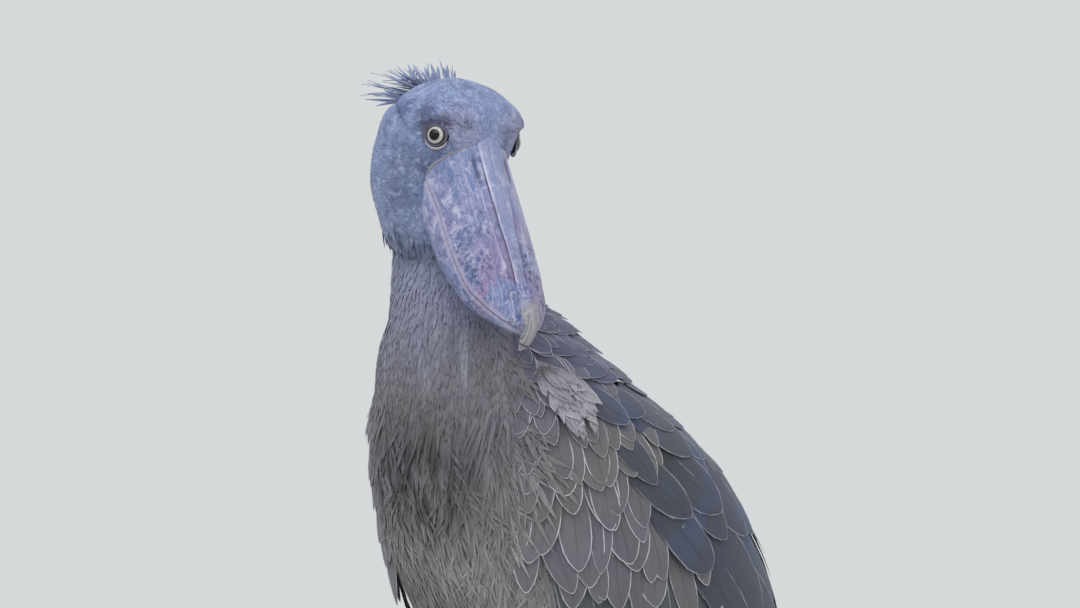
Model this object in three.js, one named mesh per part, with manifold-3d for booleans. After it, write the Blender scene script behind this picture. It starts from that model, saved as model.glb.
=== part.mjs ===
// A life-size standing shoebill, still, with its head turned over its left shoulder and its bill
// resting low in front of the neck. Millimetres, +Z up. The bird faces -Y and its left side is +X.
// The origin is on the floor, under the middle of the whole bird.
import * as THREE from "three";
import { mergeVertices } from "three/addons/utils/BufferGeometryUtils.js";
import Module from "manifold-3d";

const wasm = await Module();
wasm.setup();

// Driving sizes
const GAP = 0.3; // left between pieces that touch
const HEAD_PLACE = [80, -124, 1117]; // where the culmen leaves the forehead
const HEAD_YAW = 82; // degrees, the head turned to the bird's left
const HEAD_ROLL = 4; // degrees, its left side lower
const BILL_PITCH = 61; // degrees below level
const EYE_RADIUS = 12.5;
const EYE_PLACE = [45, 27, 3]; // centre of the left eye, in the head's frame
const EYE_FORWARD = 25; // degrees that the gaze points forward of sideways
const FOOT_SPREAD = 72; // sideways, middle of the body to the middle of a foot
const FOOT_BACK = 48; // how far the feet stand behind the front of the neck's foot
const FOOT_STAGGER = 14; // the left foot stands this much forward and the right one back
const ANKLE_HEIGHT = 262;
const TOE_RADIUS = 8;
const SOLE_RADIUS = 14;

// The sections of each form along its own middle line:
// [x, y, z, half width, radius towards the back, radius towards the belly]
const TRUNK = [
  [0, 300, 520, 10, 8, 8],
  [0, 245, 585, 58, 48, 58],
  [0, 180, 652, 104, 96, 132],
  [0, 100, 720, 134, 116, 178],
  [0, 22, 780, 136, 108, 170],
  [0, -38, 842, 118, 94, 130],
  [0, -76, 898, 92, 82, 88],
  [0, -94, 945, 68, 66, 66],
  [-8, -102, 985, 50, 55, 48],
  [-14, -103, 1022, 41, 43, 40],
  [-16, -104, 1062, 37, 39, 37],
];
const WING_COVER = [
  [0, -62, 960, 66, 46, 33],
  [0, -50, 935, 92, 70, 55],
  [0, -35, 900, 118, 88, 75],
  [0, -16, 865, 137, 118, 101],
  [0, 6, 830, 151, 152, 130],
  [0, 26, 790, 158, 188, 147],
  [0, 50, 745, 160, 207, 165],
  [0, 78, 700, 158, 211, 190],
  [0, 112, 650, 150, 198, 212],
  [0, 152, 600, 136, 168, 212],
  [0, 200, 540, 116, 130, 175],
  [0, 250, 480, 92, 92, 140],
  [0, 300, 420, 60, 55, 95],
  [0, 328, 385, 32, 24, 60],
];
// In the head's frame, from the throat up to the crown
const HEAD = [
  [0, 92, -118, 36, 26, 36],
  [0, 90, -88, 49, 41, 48],
  [0, 84, -58, 57, 65, 46],
  [0, 77, -28, 60, 72, 44],
  [0, 70, 2, 62, 67, 66],
  [0, 66, 32, 67, 63, 68],
  [0, 68, 64, 62, 63, 64],
];
// In the bill's frame, where y runs back from the tip and z is square to the culmen
const UPPER_BILL = [
  [0, 26, -60, 44, 60, 1],
  [0, -6, -59, 45, 57, 1],
  [0, -54, -52, 47, 44, 1],
  [0, -97, -50, 49, 38, 1],
  [0, -141, -46, 46, 32, 1],
  [0, -166, -38, 39, 23, 1],
  [0, -184, -32, 28, 16, 1],
  [0, -198, -27, 14, 9, 1],
  [0, -204, -25, 4, 4, 1],
];
const LOWER_BILL = [
  [0, 26, -62, 43, 1, 44],
  [0, -6, -61, 44, 1, 50],
  [0, -54, -54, 46, 1, 48],
  [0, -97, -52, 48, 1, 42],
  [0, -141, -48, 45, 1, 30],
  [0, -166, -40, 38, 1, 21],
  [0, -184, -34, 27, 1, 14],
  [0, -196, -30, 14, 1, 8],
  [0, -202, -28, 4, 1, 3],
];

const radians = THREE.MathUtils.degToRad;

// A smooth curve through a table's rows, for every column at once.
function between(rows, t) {
  const span = Math.min(Math.max(t, 0), 1) * (rows.length - 1);
  const i = Math.min(Math.floor(span), rows.length - 2);
  const f = span - i;
  return rows[i].map((_, column) => {
    const b = rows[i][column];
    const c = rows[i + 1][column];
    const a = i > 0 ? rows[i - 1][column] : 2 * b - c;
    const d = i < rows.length - 2 ? rows[i + 2][column] : 2 * c - b;
    return (
      b +
      0.5 * f * (c - a + f * (2 * a - 5 * b + 4 * c - d + f * (3 * (b - c) + d - a)))
    );
  });
}

// A form that is pulled along a middle line, with a section that changes on the way.
class Loft {
  constructor(rows, { power = 1, swellings = [], level = false } = {}) {
    this.rows = rows;
    this.power = power; // under 1 makes the section boxier than an ellipse
    this.swellings = swellings;
    this.level = level; // sections level instead of square to the middle line
  }

  frame(t) {
    const [x, y, z, width, back, belly] = between(this.rows, t);
    const step = 0.005;
    const ahead = between(this.rows, t + step);
    const behind = between(this.rows, t - step);
    const along = new THREE.Vector3(...ahead).sub(new THREE.Vector3(...behind)).normalize();
    const dorsal = this.level
      ? new THREE.Vector3(0, 1, 0)
      : new THREE.Vector3().crossVectors(along, new THREE.Vector3(1, 0, 0)).normalize();
    const side = this.level
      ? new THREE.Vector3(1, 0, 0)
      : new THREE.Vector3().crossVectors(dorsal, along);
    return { centre: new THREE.Vector3(x, y, z), along, dorsal, side, width, back, belly };
  }

  // The point at a share t of the length and an angle round the section, 0 at the left side and
  // 90 degrees at the back, lifted off the surface, with the section scaled down near an end.
  point(t, angle, lift = 0, scale = 1) {
    const f = this.frame(t);
    const shape = (v) => Math.sign(v) * Math.abs(v) ** this.power;
    const across = shape(Math.cos(angle)) * (f.width * scale + lift);
    const up = shape(Math.sin(angle)) * ((Math.sin(angle) > 0 ? f.back : f.belly) * scale + lift);
    const place = f.centre.clone().addScaledVector(f.side, across).addScaledVector(f.dorsal, up);
    const outwards = place.clone().sub(f.centre).normalize();
    for (const { at, size, height } of this.swellings) {
      const distance = place.distanceTo(new THREE.Vector3(...at));
      place.addScaledVector(outwards, height * Math.exp(-((distance / size) ** 2)));
    }
    return place;
  }
}

// Steps over a loft's surface along a heading, from a share and angle, and gives the places on
// the way with the surface's outward normal. Past the end of the loft it goes straight on.
function followed(loft, { t, angle, heading, length, steps }) {
  const places = [];
  const reach = length / steps;
  let [share, turn] = [t, radians(angle)];
  let [place, last, normal] = [loft.point(share, turn), null, null];
  for (let i = 0; i <= steps; i++) {
    if (share < 0.995) {
      place = loft.point(share, turn);
      const onwards = loft.point(share + 0.004, turn).sub(place).divideScalar(0.004);
      const round = loft.point(share, turn + 0.01).sub(place).divideScalar(0.01);
      normal = onwards.clone().cross(round).normalize();
      if (normal.dot(place.clone().sub(loft.frame(share).centre)) < 0) normal.negate();
      last = heading.clone().addScaledVector(normal, -heading.dot(normal)).setLength(reach);
      const [a, b, c] = [onwards.dot(onwards), onwards.dot(round), round.dot(round)];
      const [d, e] = [onwards.dot(last), round.dot(last)];
      places.push({ place: place.clone(), normal, forward: last.clone().normalize() });
      share += (d * c - e * b) / (a * c - b * b);
      turn += (a * e - b * d) / (a * c - b * b);
    } else {
      place = place.clone().add(last);
      places.push({ place: place.clone(), normal, forward: last.clone().normalize() });
    }
  }
  return places;
}

// How far a section is drawn in near the ends, so that the form closes in a round cap.
function capScale(share, startCap, endCap) {
  const start = startCap > 0 ? Math.min(share / startCap, 1) : 1;
  const end = endCap > 0 ? Math.min((1 - share) / endCap, 1) : 1;
  return Math.sqrt(1 - (1 - start) ** 2) * Math.sqrt(1 - (1 - end) ** 2);
}

// A closed geometry with every vertex moved by place, facing outwards and grown by lift.
function solidOf(geometry, place = (v) => v, lift = 0) {
  geometry.deleteAttribute("normal");
  geometry.deleteAttribute("uv");
  const merged = mergeVertices(geometry, 1e-4);
  const positions = merged.attributes.position;
  const corner = (i) => new THREE.Vector3().fromBufferAttribute(positions, i);
  for (let i = 0; i < positions.count; i++) {
    positions.setXYZ(i, ...place(corner(i)).toArray());
  }
  const index = merged.index.array;
  let volume = 0;
  for (let i = 0; i < index.length; i += 3) {
    const [a, b, c] = [index[i], index[i + 1], index[i + 2]].map(corner);
    volume += a.dot(b.cross(c));
  }
  if (volume < 0) {
    for (let i = 0; i < index.length; i += 3) {
      [index[i + 1], index[i + 2]] = [index[i + 2], index[i + 1]];
    }
  }
  if (lift > 0) {
    merged.computeVertexNormals();
    for (let i = 0; i < positions.count; i++) {
      const normal = new THREE.Vector3().fromBufferAttribute(merged.attributes.normal, i);
      positions.setXYZ(i, ...corner(i).addScaledVector(normal, lift).toArray());
    }
  }
  const triVerts = new Uint32Array(index);
  return new wasm.Manifold(
    new wasm.Mesh({ numProp: 3, vertProperties: positions.array, triVerts }),
  );
}

// A ball pulled over a loft from share t0 to t1. A cap is the share of the length over which an
// end is rounded, and an end with no cap is flat.
function pulled(loft, around, along, { lift = 0, t0 = 0, t1 = 1, caps = [0.1, 0.1] } = {}) {
  const first = caps[0] > 0 ? 0 : 1;
  const last = caps[1] > 0 ? along : along - 1;
  const place = (v) => {
    const ring = Math.round((Math.acos(THREE.MathUtils.clamp(v.y, -1, 1)) / Math.PI) * along);
    const share = THREE.MathUtils.clamp((ring - first) / (last - first), 0, 1);
    const scale = ring === 0 || ring === along ? 0 : capScale(share, ...caps);
    return loft.point(t0 + (t1 - t0) * share, Math.atan2(v.z, v.x), 0, scale);
  };
  return solidOf(new THREE.SphereGeometry(1, around, along), place, lift);
}

// A thin blade through rings of [left edge, upper middle, right edge, lower middle], pointed at
// the tip. Both faces are split into triangles the same way, so that they can't cross.
function blade(rings, tip) {
  const index = [0, 2, 1, 0, 3, 2];
  for (let i = 0; i < rings.length; i++) {
    for (let side = 0; side < 4; side++) {
      const [a, b] = [4 * i + side, 4 * i + ((side + 1) % 4)];
      if (i === rings.length - 1) {
        index.push(a, b, 4 * rings.length);
      } else if (side % 2 === 0) {
        index.push(a, b, b + 4, a, b + 4, a + 4);
      } else {
        index.push(a, b, a + 4, b, b + 4, a + 4);
      }
    }
  }
  const geometry = new THREE.BufferGeometry().setFromPoints([...rings.flat(), tip]);
  geometry.setIndex(index);
  return solidOf(geometry);
}

// A feather's vane over a loft. It starts sunk under the surface and lifts towards its tip. Shape
// lists [share of the length, share of the half width] and roll turns one edge over the next.
const VANE_SHAPE = [
  [0, 0.55],
  [0.4, 1],
  [0.85, 0.82],
];
function vane(loft, options) {
  const {
    width,
    thick = 1.8,
    sink = 11,
    rise = 4,
    roll = 6.5,
    drop = 0.12,
    shape = VANE_SHAPE,
  } = options;
  const steps = 20;
  const way = followed(loft, { ...options, steps });
  const rings = shape.map(([share, wide]) => {
    const { place, normal, forward } = way[Math.round(share * steps)];
    const out = rise * share - sink * Math.max(0, 1 - share / 0.35) ** 1.5;
    const across = forward.clone().cross(normal).applyAxisAngle(forward, radians(roll));
    const lie = across.clone().cross(forward).normalize();
    const middle = place.clone().addScaledVector(normal, out);
    const half = (width / 2) * wide;
    const deep = thick * (1 - 0.45 * share) * 0.5;
    return [
      middle.clone().addScaledVector(across, -half).addScaledVector(lie, -half * drop),
      middle.clone().addScaledVector(lie, deep),
      middle.clone().addScaledVector(across, half).addScaledVector(lie, -half * drop),
      middle.clone().addScaledVector(lie, -deep),
    ];
  });
  const end = way[steps];
  return blade(rings, end.place.clone().addScaledVector(end.normal, rise));
}

// A tier of vanes side by side, between two ends given as [share, angle]
function tier(loft, { from, to, count, ...options }) {
  return Array.from({ length: count }, (_, i) => {
    const f = count > 1 ? i / (count - 1) : 0.5;
    const mix = (value) => (Array.isArray(value) ? value[0] + (value[1] - value[0]) * f : value);
    const slope = radians(mix(options.slope ?? 0));
    const heading = new THREE.Vector3(0, 0, -1).applyAxisAngle(new THREE.Vector3(1, 0, 0), slope);
    return vane(loft, {
      ...options,
      t: from[0] + (to[0] - from[0]) * f,
      angle: from[1] + (to[1] - from[1]) * f,
      heading,
      length: mix(options.length),
      width: mix(options.width),
      rise: mix(options.rise ?? 3),
    });
  });
}

// A round bar through the given places, each [x, y, z, radius], grown by lift.
function bar(places, sides, { lift = 0, steps = 3 } = {}) {
  const rings = (places.length - 1) * steps;
  const curve = new THREE.CatmullRomCurve3(places.map(([x, y, z]) => new THREE.Vector3(x, y, z)));
  const frames = curve.computeFrenetFrames(rings, false);
  const radii = places.map(([, , , radius]) => [radius]);
  const place = (v) => {
    const share = 0.5 - v.y;
    const i = Math.round(share * rings);
    const radius = between(radii, share)[0];
    return curve
      .getPoint(share)
      .addScaledVector(frames.normals[i], v.x * radius)
      .addScaledVector(frames.binormals[i], v.z * radius);
  };
  return solidOf(new THREE.CylinderGeometry(1, 1, 1, sides, rings), place, lift);
}

function ball([x, y, z], radius, around = 16, stretch = [1, 1, 1]) {
  const place = (v) => v.multiply(new THREE.Vector3(...stretch)).add(new THREE.Vector3(x, y, z));
  return solidOf(new THREE.SphereGeometry(radius, around, around / 2), place);
}

function box(low, high) {
  const size = high.map((v, i) => v - low[i]);
  const middle = new THREE.Vector3(...low.map((a, i) => a + size[i] / 2));
  return solidOf(new THREE.BoxGeometry(...size), (v) => v.add(middle));
}

const join = (solids) => wasm.Manifold.union(solids);
const largest = (solid) =>
  solid.decompose().reduce((best, piece) => (piece.volume() > best.volume() ? piece : best));
const mirrored = (solid) => solid.mirror([1, 0, 0]);
const moved = (solid, matrix) => solid.transform(matrix.elements);

// Materials
const material = (color, roughness) =>
  new THREE.MeshStandardMaterial({ color, roughness, metalness: 0 });
const PLUMAGE = material(0x7c8092, 0.85);
const HEAD_PLUMAGE = material(0x8b97b5, 0.85);
const FLIGHT_FEATHER = material(0x4d5468, 0.7);
const HORN = material(0xa9a6bc, 0.45);
const LEG_SKIN = material(0x4a4c52, 0.6);
const CLAW = material(0x2c2a2b, 0.4);
const IRIS = material(0xc9cbb4, 0.15);

function meshOf(name, solid, finish) {
  const kept = largest(solid);
  const { numProp, vertProperties, triVerts } = kept.getMesh();
  const positions = new Float32Array((vertProperties.length / numProp) * 3);
  for (let i = 0; i < positions.length / 3; i++) {
    positions.set(vertProperties.subarray(i * numProp, i * numProp + 3), i * 3);
  }
  const geometry = new THREE.BufferGeometry();
  geometry.setAttribute("position", new THREE.BufferAttribute(positions, 3));
  geometry.setIndex(new THREE.BufferAttribute(triVerts, 1));
  geometry.computeVertexNormals();
  const mesh = new THREE.Mesh(geometry, finish);
  mesh.name = name;
  return mesh;
}

// The head's frame has its origin where the culmen leaves the forehead, x to the bird's left,
// y to the back of the head and z up. The bill's frame is pitched down from it.
const headPose = new THREE.Matrix4()
  .makeTranslation(...HEAD_PLACE)
  .multiply(new THREE.Matrix4().makeRotationZ(radians(HEAD_YAW)))
  .multiply(new THREE.Matrix4().makeRotationY(radians(HEAD_ROLL)));
const billPitch = new THREE.Matrix4().makeRotationX(radians(BILL_PITCH));

// Places on the head that stand out from its loft or sink into it
function bothSides(swellings) {
  return swellings.flatMap((s) => [s, { ...s, at: [-s.at[0], s.at[1], s.at[2]] }]);
}
const HEAD_SWELLINGS = bothSides([
  { at: [52, 16, 26], size: 22, height: 9 }, // brow
  { at: [56, 20, 0], size: 16, height: -5 }, // eye hollow
  { at: [56, 74, -52], size: 34, height: 4 }, // cheek
]).concat([{ at: [0, 0, 26], size: 34, height: 5 }]); // forehead

const trunk = new Loft(TRUNK, { power: 0.92 });
const wingCover = new Loft(WING_COVER, { power: 0.86, level: true });
const head = new Loft(HEAD, { power: 0.78, swellings: HEAD_SWELLINGS });
const upperBill = new Loft(UPPER_BILL, { power: 1.08 });
const lowerBill = new Loft(LOWER_BILL, { power: 0.82 });

const TORSO_END = 0.66; // share of the trunk's length where the neck starts

function trunkSolid(lift = 0) {
  return pulled(trunk, 22, 22, { lift, caps: [0.06, 0.03] });
}

// The trunk parted by a plane across the foot of the neck
function partedTrunk() {
  const { along, centre } = trunk.frame(TORSO_END);
  const offset = along.dot(centre);
  const whole = trunkSolid();
  return {
    neck: whole.trimByPlane(along.toArray(), offset + GAP),
    torso: whole.trimByPlane(along.clone().negate().toArray(), -offset),
  };
}

function headSolid(lift = 0) {
  return pulled(head, 20, 14, { lift, caps: [0.12, 0.36] });
}

// Eye, seen from the head's frame, for side 1 on the left and -1 on the right
function eyePlace(side) {
  return [side * EYE_PLACE[0], EYE_PLACE[1], EYE_PLACE[2]];
}

function lidSolid(side, lift = 0) {
  const axis = new THREE.Vector3(
    side * Math.cos(radians(EYE_FORWARD)),
    -Math.sin(radians(EYE_FORWARD)),
    0,
  );
  const turn = new THREE.Quaternion().setFromUnitVectors(new THREE.Vector3(0, 0, 1), axis);
  const centre = new THREE.Vector3(...eyePlace(side)).addScaledVector(axis, EYE_RADIUS * 0.62);
  const place = (v) => v.applyQuaternion(turn).add(centre);
  return solidOf(new THREE.TorusGeometry(EYE_RADIUS * 0.86, 2.5, 5, 14), place, lift);
}

// Upper bill: a dome over the mouth line with a raised culmen, and the hooked nail at its end
const HOOK = [
  [0, -155, -20, 12],
  [0, -180, -20, 12],
  [0, -198, -26, 9],
  [0, -208, -37, 5.5],
  [0, -211, -47, 1.4],
];
const CULMEN = [
  [0, 18, -10, 12],
  [0, 0, -10, 14],
  [0, -40, -13, 12],
  [0, -80, -15, 10],
  [0, -120, -16, 9],
  [0, -155, -18, 10],
  [0, -182, -21, 10],
];

function upperBillSolid(lift = 0) {
  const dome = pulled(upperBill, 18, 13, { lift, caps: [0.05, 0.08] });
  const made = join([dome, bar(CULMEN, 10, { lift, steps: 1 }), bar(HOOK, 10, { lift, steps: 2 })]);
  return moved(made, billPitch);
}

// Slits beside the culmen, near its root
function nostrilSolid(side) {
  return moved(ball([side * 21, -20, -11], 1, 10, [2.2, 14, 5]), billPitch);
}

function lowerBillSolid(lift = 0) {
  return moved(pulled(lowerBill, 20, 14, { lift, caps: [0.05, 0.08] }), billPitch);
}

// Legs. Each is built for side 1 on the left and -1 on the right.
const footPlace = (side) => [side * FOOT_SPREAD, FOOT_BACK - side * FOOT_STAGGER];

function thighSolid(side, lift = 0) {
  const [x, y] = footPlace(side);
  const rows = [
    [side * 58, 60, 740, 42, 50, 60],
    [side * 64, 44, 670, 60, 74, 80],
    [side * 69, 34, 600, 64, 80, 86],
    [side * 72, 36, 530, 57, 70, 74],
    [side * 72, 44, 462, 43, 50, 52],
    [x, y + 6, 400, 27, 30, 31],
    [x, y + 16, 352, 17, 18, 18],
  ];
  return pulled(new Loft(rows), 16, 12, { lift, caps: [0.16, 0.05] });
}

function shankSolid(side) {
  const [x, y] = footPlace(side);
  return bar(
    [
      [x, y + 14, 370, 9.5],
      [x, y + 22, 318, 9],
      [x, y + 28, 285, 12],
      [x, y + 30, ANKLE_HEIGHT, 14.5],
      [x, y + 26, 236, 11],
      [x, y + 18, 190, 8.5],
      [x, y + 8, 110, 8.2],
      [x, y + 2, 50, 9.5],
      [x, y, 24, 11.5],
    ],
    10,
    { steps: 2 },
  );
}

// Toes: [turn from straight ahead in degrees, length]
const TOES = {
  inner: [-24, 132],
  middle: [4, 172],
  outer: [31, 142],
  hind: [172, 82],
};
const CLAW_LENGTH = 24;

function toeAxis(side, name) {
  const turn = radians(TOES[name][0]) * side;
  return new THREE.Vector3(Math.sin(turn), -Math.cos(turn), 0);
}

function toeSolid(side, name, lift) {
  const [x, y] = footPlace(side);
  const axis = toeAxis(side, name);
  const length = TOES[name][1];
  const at = (share, z, radius) => [
    x + axis.x * length * share,
    y + axis.y * length * share,
    z,
    radius,
  ];
  return bar(
    [
      at(0, 16, 11),
      at(0.12, 12, TOE_RADIUS + 1.5),
      at(0.3, 7.4, TOE_RADIUS),
      at(0.48, 7.2, TOE_RADIUS - 0.4),
      at(0.66, 6.2, TOE_RADIUS - 1.4),
      at(0.83, 6, TOE_RADIUS - 1.4),
      at(1, 6, TOE_RADIUS - 2.6),
    ],
    8,
    { lift, steps: 1 },
  );
}

function footSolid(side, lift = 0) {
  const [x, y] = footPlace(side);
  const hub = solidOf(
    new THREE.SphereGeometry(15, 12, 6),
    (v) => v.set(v.x + x, v.y * 1.1 + y, v.z * 0.8 + 15),
    lift,
  );
  const sole = solidOf(
    new THREE.CylinderGeometry(SOLE_RADIUS, SOLE_RADIUS, 8, 16),
    (v) => v.set(v.x + x, v.z + y - 4, v.y + 4),
    lift,
  );
  const toes = Object.keys(TOES).map((name) => toeSolid(side, name, lift));
  const floor = box([x - 300, y - 300, -40], [x + 300, y + 300, -lift]);
  return join([hub, sole, ...toes]).subtract(floor);
}

function clawSolid(side, name) {
  const [x, y] = footPlace(side);
  const axis = toeAxis(side, name);
  const length = TOES[name][1];
  const at = (reach, z, radius) => [
    x + axis.x * (length + reach),
    y + axis.y * (length + reach),
    z,
    radius,
  ];
  return bar(
    [
      at(-6, 7, 4.2),
      at(4, 8.2, 4.2),
      at(CLAW_LENGTH * 0.55, 7, 3),
      at(CLAW_LENGTH * 0.85, 4, 1.6),
      at(CLAW_LENGTH, 1.2, 0.5),
    ],
    6,
    { steps: 1 },
  );
}

// Wings: each lies over its side of the body, from the middle of the back round to the flank
const WING_THICKNESS = 15;
// [share of the cover's length, front edge, back edge], in degrees round its sections
const WING_REACH = [
  [0, -45, 84],
  [0.08, -50, 88],
  [0.2, -60, 89.6],
  [0.42, -66, 89.6],
  [0.52, -56, 89.6],
  [0.62, -34, 89.6],
  [0.77, -14, 89.6],
  [1, 4, 88],
];

function wingEdges(t) {
  const i = Math.max(1, WING_REACH.findIndex(([share]) => share >= t));
  const [t0, front0, back0] = WING_REACH[i - 1];
  const [t1, front1, back1] = WING_REACH[i];
  const f = (t - t0) / (t1 - t0);
  return [front0 + (front1 - front0) * f, back0 + (back1 - back0) * f];
}

// The solid under a wing's feathers, which ends short of their tips
const WING_CORE_END = 0.86;

function wingCore() {
  const place = (v) => {
    const share = v.x + 0.5;
    const t = share * WING_CORE_END;
    const [front, back] = wingEdges(t);
    const trim = 10 * THREE.MathUtils.smoothstep(t, 0.45, 0.86);
    const angle = radians(front + trim + (back - front - trim) * (v.y + 0.5));
    const rim = Math.min(1, 0.3 + 5 * Math.min(v.y + 0.5, 0.5 - v.y, v.x + 0.5, 0.5 - v.x));
    return wingCover.point(t, angle, v.z > 0 ? -8 : -8 - (WING_THICKNESS - 5) * rim);
  };
  return solidOf(new THREE.BoxGeometry(1, 1, 1, 9, 6, 1), place);
}

// The folded wing's feathers, from the tips forward: each tier covers the roots of the last.
// Slope is the turn from straight down towards the tail, in degrees.
const WING_TIERS = [
  { from: [0.74, 24], to: [0.71, 74], count: 4, length: [150, 200], width: 54, slope: 32, rise: 0 },
  { from: [0.59, -22], to: [0.63, 60], count: 5, length: [124, 142], width: 68, slope: 24, rise: 1 },
  { from: [0.45, -48], to: [0.5, 50], count: 6, length: 114, width: 68, slope: 17, rise: 3 },
  { from: [0.34, -60], to: [0.38, 46], count: 6, length: 98, width: 64, slope: 12 },
  { from: [0.22, -58], to: [0.25, 40], count: 5, length: 92, width: 64, slope: 12 },
  { from: [0.1, -46], to: [0.12, 30], count: 3, length: 84, width: 72, slope: 14 },
  { from: [0.005, -32], to: [0.005, 60], count: 3, length: 72, width: 60, slope: 20 },
  { from: [0.5, 64], to: [0.52, 84], count: 2, length: [170, 180], width: 58, slope: 28 },
  { from: [0.3, 62], to: [0.32, 84], count: 2, length: 142, width: 62, slope: 40 },
  { from: [0.12, 54], to: [0.14, 83], count: 3, length: 124, width: 54, slope: 50 },
];

function wingSolid() {
  const whole = join([wingCore(), ...WING_TIERS.flatMap((row) => tier(wingCover, row))]);
  return whole.trimByPlane([1, 0, 0], GAP); // the other wing lies beyond the middle plane
}

// Tail: a short root in the rump and a flat fan of feathers, the middle ones on top
const TAIL_ROOT = [0, 222, 598];
const TAIL_SLOPE = 53; // degrees below level
const TAIL_LENGTH = 262;
const TAIL_FEATHERS = 11;
const TAIL_FAN = 14; // degrees that the outer feathers turn out

function tailSolid(lift = 0) {
  const down = radians(TAIL_SLOPE);
  const along = new THREE.Vector3(0, Math.cos(down), -Math.sin(down));
  const up = new THREE.Vector3(0, Math.sin(down), Math.cos(down));
  const root = new THREE.Vector3(...TAIL_ROOT);
  const at = (x, y, z) => root.clone().addScaledVector(along, y).addScaledVector(up, z).setX(x);
  const core = solidOf(
    new THREE.SphereGeometry(1, 10, 6),
    (v) => at(v.x * 40, 40 + v.y * 72, v.z * 13),
    lift,
  );
  const feathers = Array.from({ length: TAIL_FEATHERS }, (_, i) => {
    const side = (i - (TAIL_FEATHERS - 1) / 2) / ((TAIL_FEATHERS - 1) / 2);
    const turn = radians(TAIL_FAN * side);
    const height = -7 * Math.abs(side);
    const roll = radians(Math.sign(side) * 11);
    const length = TAIL_LENGTH * (1 - 0.07 * side * side);
    const place = (y, across, deep) => {
      const x = side * 24 + y * Math.sin(turn) + across * Math.cos(turn) * Math.cos(roll);
      const out = height - across * Math.sin(roll) + deep - 10 * (y / length) ** 2;
      return at(x, y * Math.cos(turn) - across * Math.sin(turn), out);
    };
    const rings = [
      [30, 6],
      [length * 0.5, 11],
      [length * 0.9, 13.5],
      [length * 0.985, 9],
    ].map(([y, half]) => [
      place(y, -half, 0),
      place(y, 0, 1 + lift),
      place(y, half, 0),
      place(y, 0, -1 - lift),
    ]);
    return blade(rings, place(length + lift, 0, 0));
  });
  return join([core, ...feathers]);
}

// Crest: a spray of narrow feathers from a low mound at the back of the crown, in the head's
// frame, with one that stands up and a few short ones along the crown in front of it.
// [root x, y, z, turn to the left, rise above level, length, width], in millimetres and degrees
const CREST = [
  [0, 118, 50, -20, 8, 56, 17],
  [-16, 114, 44, -30, 0, 38, 15],
  [14, 114, 44, 22, 4, 46, 15],
  [-10, 110, 56, -12, 15, 50, 15],
  [0, 110, 54, 2, 45, 36, 13],
  [4, 104, 56, 14, 30, 40, 13],
  [-2, 94, 58, 0, 78, 21, 11],
  [3, 76, 62, 10, 68, 18, 11],
];

function crestSolid() {
  const feathers = CREST.map(([x, y, z, turn, rise, length, width]) => {
    const level = Math.cos(radians(rise)) * length;
    const tip = new THREE.Vector3(
      Math.sin(radians(turn)) * level,
      Math.cos(radians(turn)) * level,
      Math.sin(radians(rise)) * length,
    );
    const root = new THREE.Vector3(x, y, z);
    const across = tip.clone().cross(new THREE.Vector3(0, 0, 1)).normalize();
    const lie = across.clone().cross(tip).normalize();
    const ring = (share, half) => {
      const middle = root.clone().addScaledVector(tip, share);
      return [
        middle.clone().addScaledVector(across, -half),
        middle.clone().addScaledVector(lie, 1.6),
        middle.clone().addScaledVector(across, half),
        middle.clone().addScaledVector(lie, -1.6),
      ];
    };
    const rings = [ring(-0.3, width * 0.4), ring(0.3, width / 2), ring(0.7, width * 0.32)];
    return blade(rings, root.clone().add(tip));
  });
  return join(feathers);
}

const { neck, torso } = partedTrunk();
const trunkGrown = trunkSolid(GAP);
const wholeHead = (lift = 0) => join([headSolid(lift), lidSolid(1, lift), lidSolid(-1, lift)]);
const headGrown = wholeHead(GAP);
const upperGrown = upperBillSolid(GAP);
const lowerGrown = lowerBillSolid(GAP);

const bird = new THREE.Group();
const headGroup = new THREE.Group();
headPose.decompose(headGroup.position, headGroup.quaternion, headGroup.scale);
bird.add(headGroup);

const eyes = [1, -1].map((side) => ball(eyePlace(side), EYE_RADIUS, 14));
const eyesGrown = join([1, -1].map((side) => ball(eyePlace(side), EYE_RADIUS + GAP, 14)));
const crested = join([wholeHead(), crestSolid()]);
headGroup.add(meshOf("head", crested.subtract(eyesGrown), HEAD_PLUMAGE));
headGroup.add(meshOf("eye_left", eyes[0], IRIS));
headGroup.add(meshOf("eye_right", eyes[1], IRIS));
const billCut = join([headGrown, eyesGrown]);
const nostrils = join([nostrilSolid(1), nostrilSolid(-1)]);
const upperBillCut = join([billCut, lowerGrown, nostrils]);
headGroup.add(meshOf("bill_upper", upperBillSolid().subtract(upperBillCut), HORN));
headGroup.add(meshOf("bill_lower", lowerBillSolid().subtract(billCut), HORN));

const headInPlace = moved(join([headGrown, upperGrown, lowerGrown]), headPose);
bird.add(meshOf("neck", neck.subtract(headInPlace), PLUMAGE));

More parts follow.
